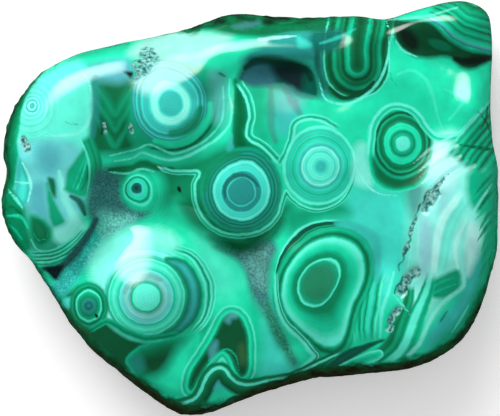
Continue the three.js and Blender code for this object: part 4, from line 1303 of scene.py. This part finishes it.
@dataclass
class MalachiteStone:
    """The whole stone: polished face, rind and sawn back, all one piece."""

    finish: PolishedMalachite = field(default_factory=PolishedMalachite)
    ground: Tone = Tone.SPRING
    soft_layers: Layers = SOFT_LAYERS
    regions: dict[str, Layers] = field(default_factory=lambda: REGIONS)
    marks: Layers = MARKS
    chips: tuple[Chip, ...] = CHIPS
    # Chips are broken out of the face alone, which lies above this height.
    chip_from_mm: float = 15
    chip_lump_mm: float = 1.4
    chip_lump_fall: float = 0.8
    rounds: int = 2
    weld_digits: int = 4
    back_step_mm: float = 1.1
    back_flat_mm: float = 1e-3
    back_weld_mm: float = 1e-5
    outline_step_deg: float = 2
    # How the columns of the eyes wander as they go down through the stone.
    face_height_mm: float = 16
    wander: float = 0.3
    wander_mm: float = 14
    # The noise that moves them north or south is read this far from the one that moves them east or west.
    wander_apart: float = 40
    # The rind shows this far in from the outline, by bearing.
    rind_reach: Reach = (
        (0, 0.3), (30, 0.4), (60, 0.5), (75, 2.4), (95, 3), (108, 1.6), (118, 0), (140, 0.3), (152, 1.4),
        (165, 2), (182, 1.6), (200, 1), (215, 2), (232, 2.4), (250, 3), (270, 2.6), (290, 3), (305, 3.8),
        (315, 3.6), (325, 2.8), (338, 1.8), (350, 0.8))
    # Below this height the whole side is rind, and the back has none.
    rind_top_mm: float = 12
    rind_back_mm: float = -5
    rind_lump_mm: float = 1.6
    rind_lump_fall: float = 1
    rind_grit_mm: float = 0.22

    def build(self) -> bpy.types.Object:
        """Builds and dresses the stone.

        Returns:
            The finished piece, standing for its CAD node.
        """
        corners, faces = self.rounded()
        corners, faces, back = self.with_back(corners, faces)
        plan, inset = self.plan(corners)
        corners = self.gritty(corners, inset, back)
        corners, chip = self.chipped(corners)
        mesh = bpy.data.meshes.new("malachite")
        mesh.from_pydata(corners * MM, [], faces)
        mesh.validate()
        self.carry(mesh, plan, inset, corners[:, 2], back, chip)
        mesh.shade_smooth()
        piece = bpy.data.objects.new("malachite", mesh)
        bpy.context.scene.collection.objects.link(piece)
        mesh.materials.append(self.finish.material(self.regions, self.marks))
        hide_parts(STONE_NODE)
        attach(piece, "root")
        return piece

    def rounded(self) -> tuple[np.ndarray, np.ndarray]:
        """Rounds the CAD solid above its sawn back.

        Returns:
            Corners in millimetres and triangles, open at the back.
        """
        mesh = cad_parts[STONE_NODE].data
        mesh.calc_loop_triangles()
        loose = np.array([v.co for v in mesh.vertices]) / MM
        corners, shared = np.unique(loose.round(self.weld_digits), axis=0, return_inverse=True)
        faces = shared.ravel()[np.array([t.vertices for t in mesh.loop_triangles])]
        faces = faces[(corners[faces, 2] > self.back_flat_mm).any(1)]
        for _ in range(self.rounds):
            corners, faces = self.subdivided(corners, faces)
        used, faces = np.unique(faces, return_inverse=True)
        return corners[used], faces.reshape(-1, 3)

    @staticmethod
    def subdivided(corners: np.ndarray, faces: np.ndarray) -> tuple[np.ndarray, np.ndarray]:
        """Splits each triangle in four and rounds the surface, by Loop's rule.

        Args:
            corners: the corners.
            faces: the triangles.

        Returns:
            The new corners and triangles.
        """
        edges, which, uses = edges_of(faces)
        facing = np.concatenate([faces[:, 2], faces[:, 0], faces[:, 1]])
        middle = corners[edges].sum(1)
        wings = np.zeros_like(middle)
        np.add.at(wings, which, corners[facing])
        rim = uses == 1
        points = np.where(rim[:, None], middle / 2, middle * 3 / 8 + wings / 8)
        count = np.bincount(edges.ravel(), minlength=len(corners))
        pull = (3 / (8 * np.maximum(count, 3)))[:, None]
        moved = (1 - count[:, None] * pull) * corners + pull * neighbours(corners, edges)
        on_rim = np.unique(edges[rim])
        moved[on_rim] = corners[on_rim] * 3 / 4 + neighbours(corners, edges[rim])[on_rim] / 8
        new = which.reshape(3, -1).T + len(corners)
        a, b, c = faces.T
        ab, bc, ca = new.T
        split = [np.stack(three, 1) for three in ((a, ab, ca), (b, bc, ab), (c, ca, bc), (ab, bc, ca))]
        return np.vstack([moved, points]), np.concatenate(split)

    def with_back(self, corners: np.ndarray, faces: np.ndarray
                  ) -> tuple[np.ndarray, np.ndarray, np.ndarray]:
        """Closes the stone with its flat sawn back.

        Args:
            corners: the corners of the open stone.
            faces: its triangles.

        Returns:
            All corners, all triangles, and which corners are on the back.
        """
        edges, _, uses = edges_of(faces)
        rims = edges[uses == 1]
        rim = np.unique(rims)
        low, high = corners[rim, :2].min(0), corners[rim, :2].max(0)
        xs, ys = (np.arange(a, b, self.back_step_mm) for a, b in zip(low, high))
        inner = np.stack(np.meshgrid(xs, ys), -1).reshape(-1, 2)
        inner[:, 0] += np.where(np.arange(len(inner)) // len(xs) % 2, self.back_step_mm / 2, 0)
        gap = np.full(len(inner), np.inf)
        for spot in corners[rim, :2]:
            gap = np.minimum(gap, np.hypot(*(inner - spot).T))
        inner = inner[gap > 0.5 * self.back_step_mm]
        flat = np.vstack([corners[rim, :2], inner])
        index = {corner: at for at, corner in enumerate(rim)}
        ring = [(index[a], index[b]) for a, b in rims]
        inside_only = 1
        points, _, tiles, origin, _, _ = delaunay_2d_cdt(
            [Vector(p) for p in flat], ring, [], inside_only, self.back_weld_mm)
        known = {}
        added = []
        for at, (point, source) in enumerate(zip(points, origin)):
            on_rim = [s for s in source if s < len(rim)]
            if on_rim:
                known[at] = rim[on_rim[0]]
            else:
                known[at] = len(corners) + len(added)
                added.append((point.x, point.y, 0))
        tiles = np.array([[known[c] for c in tile] for tile in tiles if len(tile) == 3])
        every = np.vstack([corners, np.array(added)])
        a, b, c = (every[tiles[:, k], :2] for k in range(3))
        turn = (b[:, 0] - a[:, 0]) * (c[:, 1] - a[:, 1]) - (b[:, 1] - a[:, 1]) * (c[:, 0] - a[:, 0])
        tiles = np.where((turn > 0)[:, None], tiles[:, ::-1], tiles)
        back = np.zeros(len(every), bool)
        back[rim] = True
        back[len(corners):] = True
        used, whole = np.unique(np.vstack([faces, tiles]), return_inverse=True)
        return every[used], whole.reshape(-1, 3), back[used]

    def plan(self, corners: np.ndarray) -> tuple[np.ndarray, np.ndarray]:
        """Finds where each corner lies in the banding and in the outline.

        Args:
            corners: the corners.

        Returns:
            Places in plan, wandering below the face, and how far each is in from the outline.
        """
        depth = np.clip(self.face_height_mm - corners[:, 2], 0, None)
        apart = Vector((self.wander_apart, 0, 0))
        spots = [Vector(c) / self.wander_mm for c in corners]
        push = np.array([(noise.noise(spot), noise.noise(spot + apart)) for spot in spots])
        plan = corners[:, :2] + push * (self.wander * depth)[:, None]
        radius = np.hypot(*corners[:, :2].T)
        bearing = np.degrees(np.arctan2(corners[:, 1], corners[:, 0])) % 360
        sectors = round(360 / self.outline_step_deg)
        outline = np.zeros(sectors)
        np.maximum.at(outline, (bearing / self.outline_step_deg).astype(int) % sectors, radius)
        middles = (np.arange(sectors) + 0.5) * self.outline_step_deg
        edge = np.interp(bearing, middles, outline, period=360)
        return plan, edge - radius

    def gritty(self, corners: np.ndarray, inset: np.ndarray, back: np.ndarray) -> np.ndarray:
        """Roughens the rind.

        Args:
            corners: the corners.
            inset: how far each is in from the outline.
            back: which corners are on the back.

        Returns:
            The corners with the rind's grit.
        """
        reach = self.rind_share(corners, inset)
        fine = fractal(corners, self.rind_lump_mm, self.rind_lump_fall)
        inward = corners * np.array([1, 1, 0])
        inward /= np.maximum(np.hypot(*inward[:, :2].T), 1)[:, None]
        moved = corners - inward * (self.rind_grit_mm * (0.5 + fine) * np.clip(reach, 0, 1))[:, None]
        return np.where(back[:, None], corners, moved)

    def chipped(self, corners: np.ndarray) -> tuple[np.ndarray, np.ndarray]:
        """Breaks the chips out of the face.

        Args:
            corners: the corners.

        Returns:
            The corners with the chips, and how far each is broken out.
        """
        ragged = fractal(corners, self.chip_lump_mm, self.chip_lump_fall)
        plan, on_face = corners[:, :2], corners[:, 2] > self.chip_from_mm
        broken = np.zeros(len(corners))
        drop = np.zeros(len(corners))
        for chip in self.chips:
            line = np.array(chip.line)
            room = 3 * chip.width
            near = on_face & ((plan > line.min(0) - room) & (plan < line.max(0) + room)).all(1)
            share = chip.share(plan[near], ragged[near])
            broken[near] = np.maximum(broken[near], share)
            drop[near] = np.maximum(drop[near], chip.drop(share, ragged[near]))
        moved = corners.copy()
        moved[:, 2] -= drop
        return moved, broken

    def rind_share(self, corners: np.ndarray, inset: np.ndarray) -> np.ndarray:
        """Gives how far each corner is into the rind.

        Args:
            corners: the corners.
            inset: how far each is in from the outline.

        Returns:
            Millimetres into the rind, below zero on the polished face.
        """
        bearing = np.degrees(np.arctan2(corners[:, 1], corners[:, 0]))
        reach = np.interp(bearing % 360, *np.array(self.rind_reach).T, period=360)
        return np.maximum(reach - inset, self.rind_top_mm - corners[:, 2])

    def carry(self, mesh: bpy.types.Mesh, plan: np.ndarray, inset: np.ndarray, height: np.ndarray,
              back: np.ndarray, chip: np.ndarray) -> None:
        """Stores on the mesh its soft tones and where each corner lies in every sharp layer.

        Args:
            mesh: the stone's mesh.
            plan: places in plan.
            inset: how far each corner is in from the outline.
            height: each corner's height.
            back: which corners are on the back.
            chip: how far each corner is broken out.
        """
        colours = np.tile(linear(self.ground.value), (len(plan), 1))
        for layer in self.soft_layers:
            colours = layer.paint(plan, colours)
        ground = mesh.attributes.new("ground", "FLOAT_COLOR", "POINT")
        ground.data.foreach_set("color", np.insert(colours, 3, 1, axis=1).astype(np.float32).ravel())
        growth = np.full(len(plan), np.inf)
        for region, layers in (*self.regions.items(), ("marks", self.marks)):
            values = []
            for layer in layers:
                low, high = layer.span()
                measured = layer.measure(plan)
                values.append((np.clip(measured, low - SPARE_MM, high + SPARE_MM) - low) / (high - low))
                shown = layer.shown(plan)
                if shown is not None:
                    values.append(shown)
                if isinstance(layer, Eye):
                    growth = np.minimum(growth, measured)
            values += [np.zeros(len(plan))] * (-len(values) % 3)
            for number, three in enumerate(zip(*[iter(values)] * 3)):
                carried = mesh.attributes.new(f"{region}_{number}", "FLOAT_VECTOR", "POINT")
                carried.data.foreach_set("vector", np.column_stack(three).astype(np.float32).ravel())
        corners = np.column_stack([plan, height])
        share = self.rind_share(corners, inset)
        share[back] = self.rind_back_mm
        for name, values in (("growth", growth), ("rind", share), ("sawn", back), ("chip", chip)):
            mesh.attributes.new(name, "FLOAT", "POINT").data.foreach_set("value", values.astype(np.float32))


@dataclass(frozen=True)
class Glow:
    """A soft bright patch of the studio's wall or ceiling, brightest in its middle."""

    bearing: float
    height: float
    core: float
    reach: float
    strength: float

    def lit(self, tree: Tree, facing: Socket, before: Socket | float) -> Socket:
        """Adds the patch to the studio's light.

        Args:
            tree: the surroundings' nodes.
            facing: the direction looked in.
            before: the light of the other patches.

        Returns:
            The light with this patch.
        """
        turn, rise = math.radians(self.bearing), math.radians(self.height)
        aim = (math.cos(rise) * math.cos(turn), math.cos(rise) * math.sin(turn), math.sin(rise))
        near = add(tree, "VectorMath", {"operation": "DOT_PRODUCT"}, (facing, aim)).outputs["Value"]
        inner, outer = (math.cos(math.radians(angle)) for angle in (self.core, self.reach))
        patch = add(tree, "MapRange", {"interpolation_type": "SMOOTHSTEP"}, (
            near, outer, inner, 0.0, self.strength))
        return add(tree, "Math", {"operation": "ADD"}, (before, patch.outputs[0])).outputs[0]


@dataclass
class Studio:
    """The pale floor, the soft light and the camera straight above the stone."""

    glows: tuple[Glow, ...] = (
        Glow(bearing=112, height=26, core=8, reach=36, strength=6),
        Glow(bearing=100, height=40, core=10, reach=42, strength=0.1),
    )
    air: float = 0.03
    floor_reach_mm: float = 3000
    floor_tone: str = "f4f4f4"
    floor_rough: float = 0.9
    floor_glow: float = 0.3
    # The fill comes from overhead through a crossed polariser, so it lights the colours without glare.
    fill_strength: float = 1.5
    fill_spread_deg: float = 140
    view_wide_mm: float = 110.85
    sharp_height_mm: float = 19
    away_mm: float = 1230
    sensor_mm: float = 36
    view_far_mm: float = 20000

    def build(self) -> None:
        """Sets up the floor, the light and the camera."""
        self.floor()
        self.surroundings()
        self.fill()
        self.camera()

    def floor(self) -> None:
        """Lays a plain pale floor, which the polish doesn't mirror."""
        mesh = bpy.data.meshes.new("floor")
        reach = self.floor_reach_mm * MM
        corners = [(-reach, -reach, 0), (reach, -reach, 0), (reach, reach, 0), (-reach, reach, 0)]
        mesh.from_pydata(corners, [], [(0, 1, 2, 3)])
        piece = bpy.data.objects.new("floor", mesh)
        bpy.context.scene.collection.objects.link(piece)
        material = bpy.data.materials.new("pale_floor")
        material.use_nodes = True
        shader = material.node_tree.nodes["Principled BSDF"]
        shader.inputs["Base Color"].default_value = (*linear(self.floor_tone), 1)
        shader.inputs["Roughness"].default_value = self.floor_rough
        shader.inputs["Emission Color"].default_value = (1, 1, 1, 1)
        shader.inputs["Emission Strength"].default_value = self.floor_glow
        mesh.materials.append(material)
        piece.visible_glossy = False

    def surroundings(self) -> None:
        """Fills the room with dim even light and a few soft bright patches."""
        world = bpy.data.worlds.new("studio")
        world.use_nodes = True
        tree = world.node_tree
        facing = add(tree, "TexCoord").outputs["Generated"]
        light: Any = self.air
        for glow in self.glows:
            light = glow.lit(tree, facing, light)
        backdrop = tree.nodes["Background"]
        backdrop.inputs["Color"].default_value = (1, 1, 1, 1)
        tree.links.new(light, backdrop.inputs["Strength"])
        bpy.context.scene.world = world
        bpy.context.scene.view_settings.view_transform = "Standard"

    def fill(self) -> None:
        """Hangs the broad fill light overhead, which the polish doesn't mirror."""
        lamp = bpy.data.lights.new("fill", "SUN")
        lamp.energy = self.fill_strength
        lamp.angle = math.radians(self.fill_spread_deg)
        piece = bpy.data.objects.new("fill", lamp)
        piece.visible_glossy = False
        bpy.context.scene.collection.objects.link(piece)

    def camera(self) -> None:
        """Hangs the camera over the stone, looking straight down."""
        lens = bpy.data.cameras.new("camera")
        lens.sensor_width = self.sensor_mm
        lens.lens = self.sensor_mm * self.away_mm / self.view_wide_mm
        lens.clip_end = self.view_far_mm * MM
        piece = bpy.data.objects.new("camera", lens)
        piece.location = (0, 0, (self.away_mm + self.sharp_height_mm) * MM)
        bpy.context.scene.collection.objects.link(piece)
        bpy.context.scene.camera = piece


def main() -> None:
    """Builds the stone and the studio."""
    stone = MalachiteStone().build()
    log.info("%s: %d triangles", stone.name, len(stone.data.polygons))
    Studio().build()
    log.info("studio: floor, light and camera")


if __name__ == "__main__":
    logging.basicConfig(level=logging.INFO, format="%(message)s")
    main()
